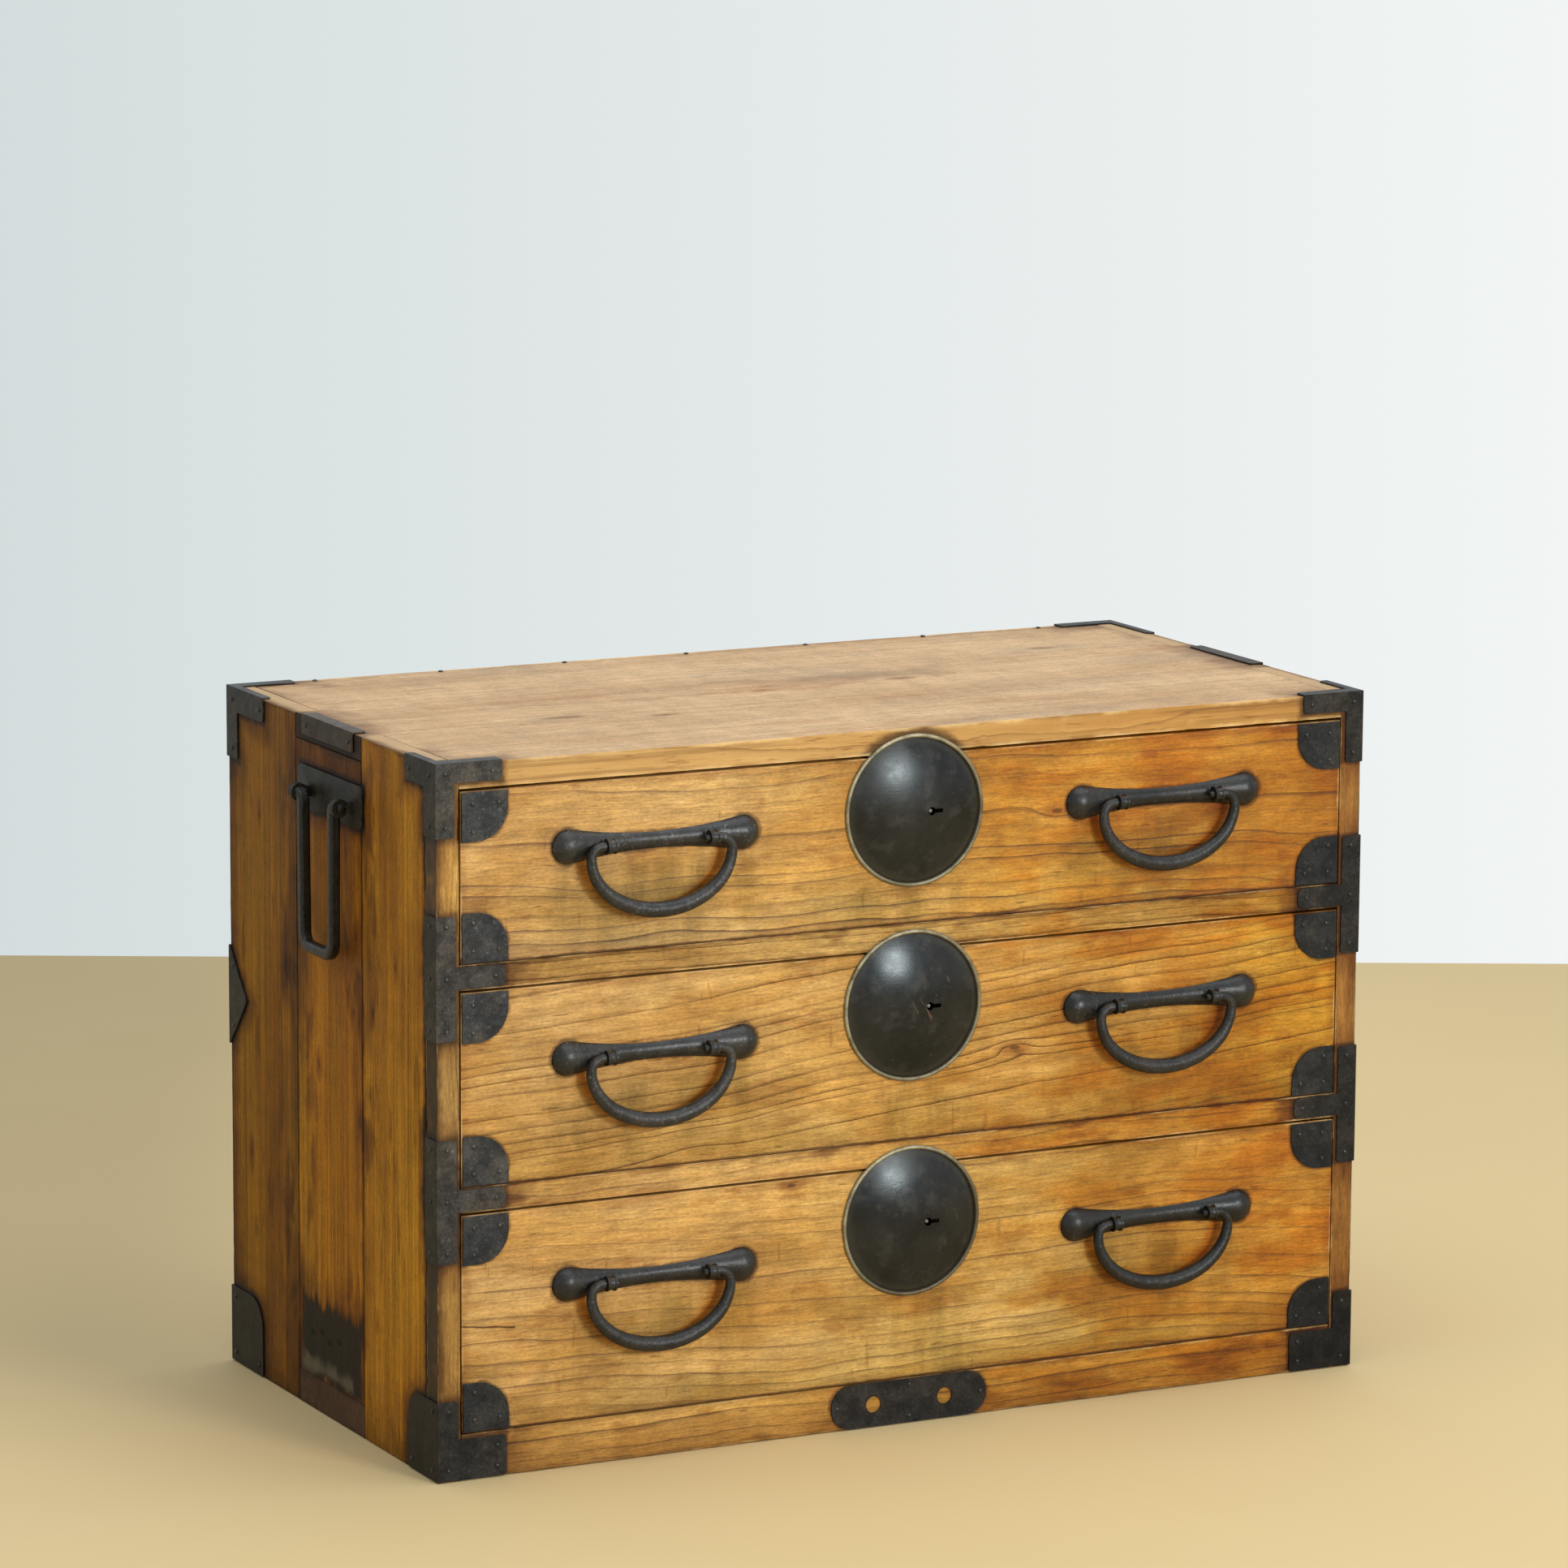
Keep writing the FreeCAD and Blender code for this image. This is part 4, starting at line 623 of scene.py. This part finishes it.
def black_iron(name, dark, brown, rough=0.46, rust=0.45, relief=0.3, shine=0.17, holes=(),
               cool=0.82):
    """Forged iron, blackened and rubbed. Painted shade makes it darker low down, near the floor,
    and on the chest's sides; it is also darker towards the right.
    """
    iron = Paint(name)
    cloud, ramp, shade = iron.cloud, iron.ramp, iron.shade
    broad = cloud(28, 3, 0.55)
    blows = cloud(150, 2, 0.5)
    grit = cloud(900, 2, 0.6)
    iron.colour = iron.blend(ramp(broad, 0.4, 0.66), dark, brown)
    flakes = cloud(210, 4, 0.65)
    iron.cover(flakes, 0.6, 0.72, (0.095, 0.056, 0.034), rust)
    scuffs = cloud(330, 3, 0.7)
    iron.cover(scuffs, 0.6, 0.7, (0.15, 0.143, 0.13), 0.5)
    out = abs(iron.x) - WIDE / 2
    bridge = iron.beyond_box(iron.y, iron.z, (BRIDGE_AT, 0.58), (BRIDGE_HALF + 0.002, 0.03))
    rusty = ramp(bridge + (flakes - 0.5) * 0.02, 0.004, -0.004, 0, 0.65)
    iron.tint(rusty * ramp(out, -0.02, -0.01), (0.098, 0.06, 0.034))
    shade(grit * 1.5 + scuffs * 1.3 - 0.4)
    shade(ramp(cloud(75, 4, 0.65), 0.36, 0.64, 0.64, 1.26))
    # painted shade: darker low down, towards the floor
    shade(ramp(iron.z, 0.04, 0.3, 0.46))
    shade(ramp(iron.x, -0.1, 0.36, 1, 0.46))
    # painted shade: the irons on the chest's sides are painted darker and browner, the carrying
    # plates and bars further out darker again
    iron.fade(out, 0.0006, 0.001, (0.6, 0.55, 0.45))
    shade(ramp(out, 0.0014, 0.0019, 1, 0.72))
    # painted shade: near-black dots for the shade inside the holes at the bones' middles
    for spot in holes:
        hole = iron.beyond_disc(abs(iron.x), iron.z, spot, 0.0011)
        iron.cover(hole, 0.0003, -0.0001, (0.004, 0.004, 0.004))
    roughness = broad * 0.22 + grit * 0.16 + (rough - 0.19)
    pits = cloud(420, 3, 0.6)
    height = blows * 0.75 + pits * 0.4 + grit * 0.12 + broad * 0.6
    return iron.done(roughness, height, relief * MM, Metallic=0.15, IOR=1.5,
                     Specular_IOR_Level=shine, Specular_Tint=(cool, 0.5 + 0.5 * cool, 1, 1))


def dome_iron(number):
    """A lock dome: brushed black, with painted shade over its lower part, a grey rubbed patch at
    its upper left that also holds its painted bluish highlight, and brown scratches by the
    keyhole.
    """
    iron = Paint("lock_dome_iron_%d" % number)
    ramp, cloud = iron.ramp, iron.cloud
    middle = level_of("drawer_%d_lock_plate" % number)
    x, z = iron.x, iron.z
    shifted = iron.join(x, iron.y + 3.1 * number, z)
    broad = cloud(20, 4, 0.6, spot=shifted)
    cloudy = cloud(55, 4, 0.65, spot=shifted)
    brushed = iron.drawn(shifted, (60, 60, 500), 3, 0.6)
    grit = cloud(700, 3, 0.65, spot=shifted)
    iron.colour = iron.blend(ramp(broad, 0.36, 0.64), (0.006, 0.005, 0.005),
                             (0.016, 0.014, 0.012))
    iron.cover(cloudy, 0.52, 0.66, (0.038, 0.034, 0.031), 0.6)
    iron.shade(grit * 0.8 + 0.6)
    # painted shade: darker below the middle
    iron.shade(ramp(middle - z, -0.02, 0.06, 1, 0.8))
    # the rubbed patch at the upper left is also a painted highlight, bluish grey where the
    # window's reflection falls
    rubbed_sheen_spot = iron.beyond_disc(x, z, (-0.02, middle + 0.036), 0.004)
    rubbed_sheen_patch = ramp(rubbed_sheen_spot + (grit - 0.5) * 0.02, 0.016, -0.006) * ramp(grit, 0.42, 0.6)
    iron.tint(rubbed_sheen_patch * 0.6, (0.15, 0.175, 0.185))
    iron.cover(cloud(190, 4, 0.7, spot=shifted), 0.6, 0.7, (0.06, 0.042, 0.03), 0.4)
    if number > 1:
        scratch = cloud(1, 2, 0.5, spot=iron.join(x * 260 + z * 120, 3.3 * number, z * 55))
        near = ramp(iron.beyond_disc(x, z, (0.018, middle + 0.004), 0.004), 0.034, 0.004)
        iron.tint(ramp(scratch, 0.66, 0.71) * near * 0.65, (0.15, 0.092, 0.058))
    rim = iron.beyond_disc(x, z, (0, middle), 0.0605) + (broad - 0.5) * 0.012
    iron.cover(rim, -0.008, 0, (0.05, 0.043, 0.03), 0.5)
    roughness = broad * 0.34 + cloudy * 0.34 + grit * 0.12 - 0.105
    return iron.done(roughness, brushed * 0.2 + grit * 0.16 + broad * 0.5, 0.2 * MM,
                     Metallic=0.08, IOR=1.5, Specular_IOR_Level=0.36,
                     Specular_Tint=(0.82, 0.95, 1, 1))


def ring_brass(number):
    """The wire round a lock dome: brass, gone dull and green-brown, and darker away from its upper
    left, most on the third drawer.
    """
    brass = Paint("dull_ring_brass_%d" % number)
    middle = level_of("drawer_%d_lock_ring" % number)
    tarnish = brass.cloud(90, 4, 0.65)
    brass.colour = brass.blend(brass.ramp(tarnish, 0.36, 0.66), (0.36, 0.33, 0.22),
                               (0.2, 0.175, 0.11))
    brass.cover(brass.cloud(38, 3, 0.6), 0.56, 0.7, (0.065, 0.055, 0.036), 0.6)
    up_left = brass.z - middle - brass.x * 0.9 + (tarnish - 0.5) * 0.05
    brass.cover(up_left, 0.045, -0.045, (0.075, 0.062, 0.04), 0.85 if number == 3 else 0.45)
    return brass.done(tarnish * 0.3 + 0.34, tarnish, 0.12 * MM, Metallic=0.6, IOR=1.5)


def glinting_post_steel():
    """The tip of a key post, painted pale grey as the glint on it inside the keyhole."""
    steel = Paint("glinting_post_steel")
    steel.colour = steel.blend(steel.cloud(600), (0.13, 0.13, 0.12), (0.28, 0.27, 0.25))
    return steel.done(0.34, steel.cloud(900), 0.1 * MM, Metallic=0.3, IOR=1.5)


# ---- forms

def added(name, data):
    """A new object in the scene."""
    made = bpy.data.objects.new(name, data)
    bpy.context.scene.collection.objects.link(made)
    return made


def merged(node):
    """The form of a CAD node, its loose triangles joined and its flats made whole."""
    form = bmesh.new()
    form.from_mesh(NODES[node].data)
    bmesh.ops.remove_doubles(form, verts=form.verts, dist=2e-6)
    return form


def flatten(form):
    bmesh.ops.dissolve_limit(form, angle_limit=math.radians(0.5), verts=form.verts,
                             edges=form.edges)


def block(lo, hi):
    """A plain block to be eased."""
    form = bmesh.new()
    middle = (Vector(lo) + Vector(hi)) / 2
    size = Vector(hi) - Vector(lo)
    place = Matrix.Translation(middle) @ Matrix.Diagonal((*size, 1))
    bmesh.ops.create_cube(form, size=1, matrix=place)
    return form


def bevel(form, edges, width, segments):
    return bmesh.ops.bevel(form, geom=edges, offset=width, offset_type="OFFSET", segments=segments,
                           profile=0.5, affect="EDGES", clamp_overlap=True)


def corners_of(form, least_turn):
    return [edge for edge in form.edges if len(edge.link_faces) == 2 and edge.is_convex
            and edge.calc_face_angle(0) > math.radians(least_turn)]


def stations(form, axis, pitch):
    """Cuts a form across an axis at even steps."""
    places = [vert.co[axis] for vert in form.verts]
    low, length = min(places), max(places) - min(places)
    count = max(2, round(length / pitch))
    normal = Vector([float(i == axis) for i in range(3)])
    for step in range(1, count):
        bmesh.ops.bisect_plane(form, geom=form.verts[:] + form.edges[:] + form.faces[:], dist=1e-6,
                               plane_co=normal * (low + length * step / count), plane_no=normal)


def ease(form, axis, pitch=0.007, width=0.0012, dents=0.0005, chips=0, seed=0):
    """Rounds the arrises of a board unevenly, with dents and a few chips along them."""
    flatten(form)
    stations(form, axis, pitch)
    made = bevel(form, corners_of(form, 40), width, 2)
    form.normal_update()
    rounded = {vert for face in made["faces"] for vert in face.verts}
    shift = Vector((7.1 * seed, 3.3 * seed, 1.7 * seed))
    for vert in rounded:
        spot = vert.co + shift
        lump = 0.5 + 0.5 * noise.noise(spot * 28) + 0.35 * noise.noise(spot * 110)
        chip = max(0, noise.noise(spot * 75 + shift) - 0.28) * 2.2
        vert.co -= vert.normal * (max(0, lump) * dents + chip * chips)
    return form


def forged(node, depth, size, seed=0):
    """The form of a node, dented inwards all over, as hammer work leaves it."""
    form = merged(node)
    form.normal_update()
    shift = Vector((5.3 * seed, 2.9 * seed, 4.1 * seed))
    for vert in form.verts:
        lump = 0.5 + 0.5 * noise.noise((vert.co + shift) * size)
        vert.co -= vert.normal * max(0, lump) * depth
    return form


def strap(node, turn=0.0032, edge=0.00028, arm_turn=None):
    """Sheet straps with their corners rounded and their edges broken. Where arm_turn is given,
    the ends of the T irons' arms have that round instead."""
    form = merged(node)
    flatten(form)
    thin, arms = [], []
    for corner in corners_of(form, 60):
        x, y, z = corner.verts[0].co
        wrapped = abs(x) > WIDE / 2 + 0.001 and abs(y) > DEEP / 2 - 0.0001
        if wrapped or not corner.calc_length() < 0.0014:
            continue
        near = min(abs(z - level) for level in TEES) < 0.012
        on_arm = arm_turn and near and abs(abs(x) - (WIDE / 2 - TEE_REACH)) < 0.002
        (arms if on_arm else thin).append(corner)
    bevel(form, thin, turn, 4)
    if arms:
        bevel(form, arms, arm_turn, 4)
    bevel(form, corners_of(form, 40), edge, 2)
    return form


def thin_post(case, level):
    """Wears down the post that the key turns on, so that it shows in the round of the keyhole."""
    for vert in case.verts:
        across, up = vert.co.x - POST_OUT, vert.co.z - level
        if 0.0012 < math.hypot(across, up) < 0.0026:
            vert.co.x, vert.co.z = POST_OUT + across * 0.76, level + up * 0.76


def smooth_dome(made, number):
    """Gives a lock dome the shading of a true sphere, outside and in."""
    mesh = made.data
    lo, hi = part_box("drawer_%d_lock_plate" % number)
    radius, rise = (hi.x - lo.x) / 2, hi.y - lo.y
    facing = [Vector() for _ in mesh.loops]
    for span, high, sign in ((radius, rise, 1), (radius - 0.0032, rise - 0.0016, -1)):
        ball = (span * span + high * high) / (2 * high)
        centre = Vector((0, hi.y + ball - high, (lo.z + hi.z) / 2))
        for face in mesh.polygons:
            spots = [mesh.vertices[mesh.loops[i].vertex_index].co for i in face.loop_indices]
            if all(abs((spot - centre).length - ball) < 5e-5 for spot in spots):
                for i, spot in zip(face.loop_indices, spots):
                    facing[i] = (spot - centre).normalized() * sign
    mesh.normals_split_custom_set(facing)


def piece(name, form, paints, nodes, slot="black_iron", smooth=38, choose=None):
    """Makes a form a finished piece that stands for its CAD nodes and rides with them."""
    mesh = bpy.data.meshes.new(name)
    if choose:
        for face in form.faces:
            face.material_index = choose(face.calc_center_median())
    form.to_mesh(mesh)
    form.free()
    for paint in paints:
        mesh.materials.append(paint.material)
    mesh.polygons.foreach_set("use_smooth", [True] * len(mesh.polygons))
    mesh.set_sharp_from_angle(angle=math.radians(smooth))
    made = added(name, mesh)
    even = made.modifiers.new("flats", "WEIGHTED_NORMAL")
    even.keep_sharp, even.weight = True, 100
    graph = bpy.context.evaluated_depsgraph_get()
    made.data = bpy.data.meshes.new_from_object(made.evaluated_get(graph),
                                                preserve_all_data_layers=True, depsgraph=graph)
    made.modifiers.clear()
    bpy.data.meshes.remove(mesh)
    made.data.name = name
    return settle(made, nodes)


def shaped(name, node, paints, shape=merged, *amounts, **more):
    """A piece that is its one node's own form, shaped."""
    return piece(name, shape(node, *amounts), paints, [node], **more)


def settle(made, nodes):
    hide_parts(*nodes)
    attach(made, BODY_OF[nodes[0]])
    return made


# ---- nails

def nail_spots(node):
    """The foot of each nail's head and the way it faces, from the CAD nails."""
    form = merged(node)
    form.verts.ensure_lookup_table()
    seen, spots = set(), []
    for start in form.verts:
        if start in seen:
            continue
        group = [start]
        seen.add(start)
        for vert in group:      # the group grows as it is walked
            fresh = {edge.other_vert(vert) for edge in vert.link_edges} - seen
            seen |= fresh
            group.extend(fresh)
        cloud = np.array([vert.co for vert in group])
        low, high = cloud.min(0), cloud.max(0)
        axis = int(np.argmax(high - low))
        middle = (low + high) / 2
        ring = np.abs(np.delete(cloud - middle, axis, 1)).max(1)
        wide = cloud[ring > 0.9 * ring.max(), axis].mean()
        sign = 1 if wide > middle[axis] else -1
        foot = Vector(middle)
        foot[axis] = (high if sign > 0 else low)[axis] - sign * NAIL_HIGH
        facing = Vector([float(sign * (i == axis)) for i in range(3)])
        spots.append((foot, facing))
    form.free()
    return spots


def nail_tree():
    """Domed heads on the points of a mesh, each turned to its own facing."""
    tree = bpy.data.node_groups.new("nail_heads", "GeometryNodeTree")
    face = tree.interface
    face.new_socket("Heads", in_out="OUTPUT", socket_type="NodeSocketGeometry")
    for name, kind in (("Points", "Geometry"), ("Head Radius", "Float"), ("Head Height", "Float"),
                       ("Seed", "Int"), ("Iron", "Material")):
        face.new_socket(name, in_out="INPUT", socket_type="NodeSocket" + kind)
    graph = Graph(tree)
    given = tree.nodes.new("NodeGroupInput")
    points, radius, height, seed, iron = (Value(graph, s) for s in given.outputs[:5])
    ball = graph.node("GeometryNodeMeshUVSphere", inputs={"Segments": 12, "Rings": 7, "Radius": 1})
    size = graph.node("ShaderNodeCombineXYZ", inputs={0: radius, 1: radius, 2: height})
    head = graph.node("GeometryNodeTransform", inputs={"Geometry": ball, "Scale": size})
    facing = graph.node("GeometryNodeInputNamedAttribute", {"data_type": "FLOAT_VECTOR"},
                        {"Name": "facing"})
    turn = graph.node("FunctionNodeAlignRotationToVector", {"axis": "Z"}, {"Vector": facing})
    grown = graph.node("FunctionNodeRandomValue", {"data_type": "FLOAT"},
                       {2: 0.86, 3: 1, 8: seed}, 1)     # the sockets of its floats
    set_out = graph.node("GeometryNodeInstanceOnPoints", inputs={
        "Points": points, "Instance": head, "Rotation": turn, "Scale": grown})
    real = graph.node("GeometryNodeRealizeInstances", inputs={0: set_out})
    soft = graph.node("GeometryNodeSetShadeSmooth", inputs={"Geometry": real})
    black = graph.node("GeometryNodeSetMaterial", inputs={"Geometry": soft, "Material": iron})
    result = tree.nodes.new("NodeGroupOutput")
    graph.feed(result.inputs["Heads"], black)
    return tree


def nails(name, node, tree, paint, seed):
    """Grows a node's nail heads and keeps them as one plain mesh."""
    shake = random.Random(seed)
    spots = nail_spots(node)
    base = bpy.data.meshes.new(name + "_points")
    base.from_pydata([foot for foot, facing in spots], [], [])
    facing_layer = base.attributes.new("facing", "FLOAT_VECTOR", "POINT")
    for index, (foot, facing) in enumerate(spots):
        tilt = Vector([shake.uniform(-0.1, 0.1) for _ in range(3)])
        facing_layer.data[index].vector = (facing + tilt).normalized()
    holder = added(name + "_points", base)
    grow = holder.modifiers.new("heads", "NODES")
    grow.node_group = tree
    amounts = {"Head Radius": NAIL_R, "Head Height": NAIL_HIGH, "Seed": seed,
               "Iron": paint.material}
    for item in tree.interface.items_tree:
        if item.in_out == "INPUT" and item.name in amounts:
            grow[item.identifier] = amounts[item.name]
    shape = holder.evaluated_get(bpy.context.evaluated_depsgraph_get())
    mesh = bpy.data.meshes.new_from_object(shape)
    bpy.data.objects.remove(holder)
    mesh.name = name
    made = added(name, mesh)
    return settle(made, [node])


# ---- the chest

def build_back():
    """The back's three planks, one above the other."""
    lo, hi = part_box("back_panel")
    step = (hi.z - lo.z) / 3
    planks, paints = bmesh.new(), []
    for row in range(3):
        low, high = (lo.x, lo.y, lo.z + row * step), (hi.x, hi.y, lo.z + (row + 1) * step)
        plank = ease(block(low, high), 0, 0.012, 0.0009, 0.0004, 0.0004, 60 + row)
        joined = bpy.data.meshes.new("row")
        plank.to_mesh(joined)
        plank.free()
        planks.from_mesh(joined)
        bpy.data.meshes.remove(joined)
        paints.append(plain_wood("back_plank_wood_%d" % (row + 1), "xzy", low, high, 61 + row,
                                 HONEY, 0.52, pith=(0.02 * row - 0.02, 0.09), spacing=0.007))
    piece("back_planks", planks, paints, ["back_panel"], "inner_wood",
          choose=lambda spot: min(2, max(0, int((spot.z - lo.z) / step))))


def build_carcase(iron):
    piece("top_board_worn", ease(merged("top_board"), 0, 0.006, 0.0018, 0.0008, 0.0011, 3),
          [top_wood()], ["top_board"], "top_wood")
    for word, seed, spacing, pith in (("upper", 11, 0.007, 0.08), ("lower", 17, 0.009, -0.07)):
        node = "rail_" + word
        wood = rail_wood(word + "_rail_wood", node, seed, spacing=spacing, pith=(pith, 0.05))
        piece(word + "_rail_worn", ease(merged(node), 0, seed=seed), [wood], [node], "front_wood")
    piece("bottom_rail_worn", ease(merged("rail_bottom"), 0, 0.006, 0.0016, 0.0008, 0.0009, 23),
          [bottom_rail_wood()], ["rail_bottom"], "front_wood")
    piece("stiles_worn", ease(merged("front_stiles"), 2, 0.006, 0.0012, 0.0006, 0.0006, 31),
          [stile_wood(-1), stile_wood(1)], ["front_stiles"], "front_wood",
          choose=lambda spot: int(spot.x > 0))
    for word, side in (("left", -1), ("right", 1)):
        piece("side_planks_" + word,
              ease(merged("side_panel_" + word), 2, 0.009, 0.001, 0.0005, 0.0003, 41 + side),
              [side_wood(side, place) for place in ("front", "middle", "back")],
              ["side_panel_" + word], "side_wood",
              choose=lambda spot: int(spot.y > FRONT_JOINT) + int(spot.y > BACK_JOINT))
    build_back()
    for node, lay, seed in (("bottom_board", "xyz", 67), ("drawer_runners", "yzx", 71)):
        paint = plain_wood(node + "_wood", lay, *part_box(node), seed)
        eased = ease(merged(node), "xyz".index(lay[0]), 0.02, 0.0008, 0.0003, 0, seed)
        piece(node + "_eased", eased, [paint], [node], "inner_wood")
    shaped("corner_straps", "corner_irons", [iron], strap)
    piece("side_straps", strap("edge_irons", arm_turn=0.006), [iron], ["edge_irons"])
    shaped("sill_strap", "sill_iron", [iron])


def build_drawer(number, iron, handle_iron, bone_iron, steel, grain):
    name = "drawer_%d_" % number
    worn = ease(merged(name + "front"), 0, 0.006, 0.0011, 0.0006, 0.0005, number)
    piece(name + "front_worn", worn, [drawer_wood(number, **grain)], [name + "front"],
          "front_wood")
    inner = plain_wood(name + "inner_wood", "yzx", *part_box(name + "side_left"), 80 + number)
    bottom = plain_wood(name + "bottom_wood", "xyz", *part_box(name + "bottom"), 90 + number)
    for word, axis, paint in (("side_left", 1, inner), ("side_right", 1, inner),
                              ("back", 0, bottom), ("bottom", 0, bottom)):
        node = name + word
        eased = ease(merged(node), axis, 0.02, 0.0008, 0.0003, 0, number)
        piece(node + "_eased", eased, [paint], [node], "inner_wood")
    shaped(name + "corner_plates", name + "corner_irons", [iron], strap, 0.0008)
    dome = shaped(name + "lock_dome", name + "lock_plate", [dome_iron(number)], smooth=30)
    smooth_dome(dome, number)
    shaped(name + "dome_ring", name + "lock_ring", [ring_brass(number)], slot="dull_brass")
    case = strap(name + "lock_case", 0.0005, 0.0003)
    level = level_of(name + "lock_plate")
    thin_post(case, level)
    piece(name + "lock_box", case, [iron, steel], [name + "lock_case"],
          choose=lambda spot: int(math.hypot(spot.x - POST_OUT, spot.z - level) < 0.0024))
    shaped(name + "bolt_eased", name + "lock_bolt", [iron], strap, 0.0005, 0.0004)
    shaped(name + "bone_plates", name + "handle_plates", [bone_iron], forged, 0.00022, 90, number)
    for word in ("left", "right"):
        bail = name + "handle_" + word
        shaped(bail + "_forged", bail, [handle_iron], forged, 0.00035, 120, number + len(word))


def build():
    iron = black_iron("strap_iron", (0.044, 0.042, 0.04), (0.072, 0.062, 0.052))
    handle_iron = black_iron("handle_iron", (0.019, 0.019, 0.018), (0.032, 0.029, 0.026), 0.42,
                             0.25, 1, 0.5, cool=0.94)
    plate_iron = black_iron("plate_iron", (0.034, 0.036, 0.04), (0.062, 0.058, 0.053), 0.48, 0.35,
                            0.4, 0.2)
    holes = [(BONE_OUT, level_of("drawer_%d_handle_plates" % number) - 0.0015)
             for number in DRAWERS]
    bone_iron = black_iron("bone_iron", (0.016, 0.016, 0.016), (0.028, 0.026, 0.023), 0.37, 0.2,
                           0.42, 0.5, holes, cool=0.94)
    nail_iron = black_iron("nail_iron", (0.03, 0.03, 0.03), (0.052, 0.046, 0.04), 0.3, shine=0.5)
    steel = glinting_post_steel()
    build_carcase(iron)
    grains = (dict(pith=(-0.14, 0.1), spacing=0.0092, lean=0.02,
                   knots=((-0.291, 0.492, 0.013, 0), (0.135, 0.51, 0.005, 1))),
              dict(pith=(0.15, 0.08), spacing=0.0086, lean=-0.09, sway=0.06,
                   knots=((0.097, 0.312, 0.005, 1), (-0.2, 0.25, 0.01, 0))),
              dict(pith=(-0.17, 0.08), spacing=0.0098, lean=0.03, lines=0.64,
                   knots=((-0.34, 0.17, 0.006, 0), (-0.111, 0.215, 0.004, 1))))
    for number, grain in zip(DRAWERS, grains):
        build_drawer(number, plate_iron, handle_iron, bone_iron, steel, grain)
    for word in ("left", "right"):
        shaped("carrying_plate_" + word, "side_handle_plate_" + word, [iron])
        shaped("carrying_bar_" + word, "side_handle_" + word, [handle_iron], forged, 0.0005, 110)
    tree = nail_tree()
    nails("carcase_nail_heads", "carcase_nails", tree, nail_iron, 5)
    for number in DRAWERS:
        nails("drawer_%d_nail_heads" % number, "drawer_%d_nails" % number, tree, nail_iron,
              10 + number)


# ---- stage, camera and light

CAMERA_AT = Vector((-2.6005, -5.1123, 1.5263))
AZIMUTH, ELEVATION, ROLL = math.radians(-26.8726), math.radians(10.0703), math.radians(0.3113)
LENS, SENSOR = 157.04, 36
TURN = (Matrix.Rotation(AZIMUTH, 4, "Z") @ Matrix.Rotation(math.pi / 2 - ELEVATION, 4, "X")
        @ Matrix.Rotation(ROLL, 4, "Z"))
FLOOR_END = 1.74       # how far behind the chest's middle the floor stops


def stand():
    """The floor: one plain pale sheet, whose far end is where the wall would start, with painted
    shade towards its far left.
    """
    turn = Matrix.Rotation(AZIMUTH, 3, "Z")
    across, away = turn.col[0], turn.col[1]
    corners = [turn @ Vector((u, v, -0.0002))
               for u, v in ((-7, -7), (7, -7), (7, FLOOR_END), (-7, FLOOR_END))]
    mesh = bpy.data.meshes.new("floor")
    mesh.from_pydata(corners, [], [(0, 1, 2, 3)])
    paint = Paint("floor_paint")
    paint.colour = paint.blend(paint.cloud(3), (0.68, 0.515, 0.255), (0.72, 0.55, 0.275))
    depth = paint.x * away.x + paint.y * away.y
    left = paint.x * across.x + paint.y * across.y
    # painted shade: darker to the left and further back, as the chest's shade falls there
    paint.shade(1 - paint.ramp(left, -0.34, -0.66) * paint.ramp(depth, -0.4, 0.1) * 0.26)
    paint.done(0.75, paint.cloud(60), 0.1 * MM)
    mesh.materials.append(paint.material)
    floor = added("floor", mesh)


def camera():
    data = bpy.data.cameras.new("camera")
    data.lens, data.sensor_width = LENS, SENSOR
    data.clip_start, data.clip_end = 0.1, 100
    eye = added("camera", data)
    eye.matrix_world = Matrix.Translation(CAMERA_AT) @ TURN
    bpy.context.scene.camera = eye


def lamp(name, place, aim, size, power, colour):
    data = bpy.data.lights.new(name, "AREA")
    data.shape = "RECTANGLE"
    data.size, data.size_y = size
    data.energy, data.color = power, colour
    light = added(name, data)
    light.location = place
    light.rotation_euler = (Vector(aim) - Vector(place)).to_track_quat("-Z", "Y").to_euler()


def daylight():
    """Soft light from a window in front, and a pale room all round."""
    world = bpy.data.worlds.new("room")
    bpy.context.scene.world = world
    world.use_nodes = True
    graph = Graph(world.node_tree)
    shown = world.node_tree.nodes["Background"]
    room = graph.node("ShaderNodeBackground", inputs={"Color": (0.9, 0.95, 1), "Strength": 0.62})
    # painted shade: the pale backdrop, seen directly and in reflections, goes darker towards the
    # left
    way = graph.node("ShaderNodeTexCoord", output="Generated")
    across = graph.node("ShaderNodeVectorMath", {"operation": "DOT_PRODUCT"},
                        {0: way, 1: TURN.col[0].xyz}, "Value")
    spread = SENSOR / 2 / LENS
    wall = graph.node("ShaderNodeMapRange", inputs={0: across, 1: -spread, 2: spread})
    pale = graph.node("ShaderNodeMix", {"data_type": "RGBA"},
                      {0: wall, 6: (0.66, 0.725, 0.725), 7: (0.885, 0.91, 0.905)}, 2)
    seen = graph.most(*[graph.node("ShaderNodeLightPath", output=kind)
                        for kind in ("Is Camera Ray", "Is Glossy Ray")])
    graph.feed(shown.inputs["Color"], pale)
    graph.feed(shown.inputs["Strength"], 1)
    mixed = graph.node("ShaderNodeMixShader",
                       inputs={0: seen, 1: room, 2: Value(graph, shown.outputs[0])})
    graph.feed(world.node_tree.nodes["World Output"].inputs["Surface"], mixed)
    lamp("window", (1.05, -4.6, 1.65), (0, -0.1, 0.35), (1.1, 1.1), 106, (1, 0.99, 0.97))
    lamp("skylight", (0.3, -0.3, 3.4), (0, 0, 0.3), (3, 3), 60, (0.93, 0.97, 1))


build()
stand()
camera()
daylight()
bpy.context.scene.view_settings.view_transform = "Standard"
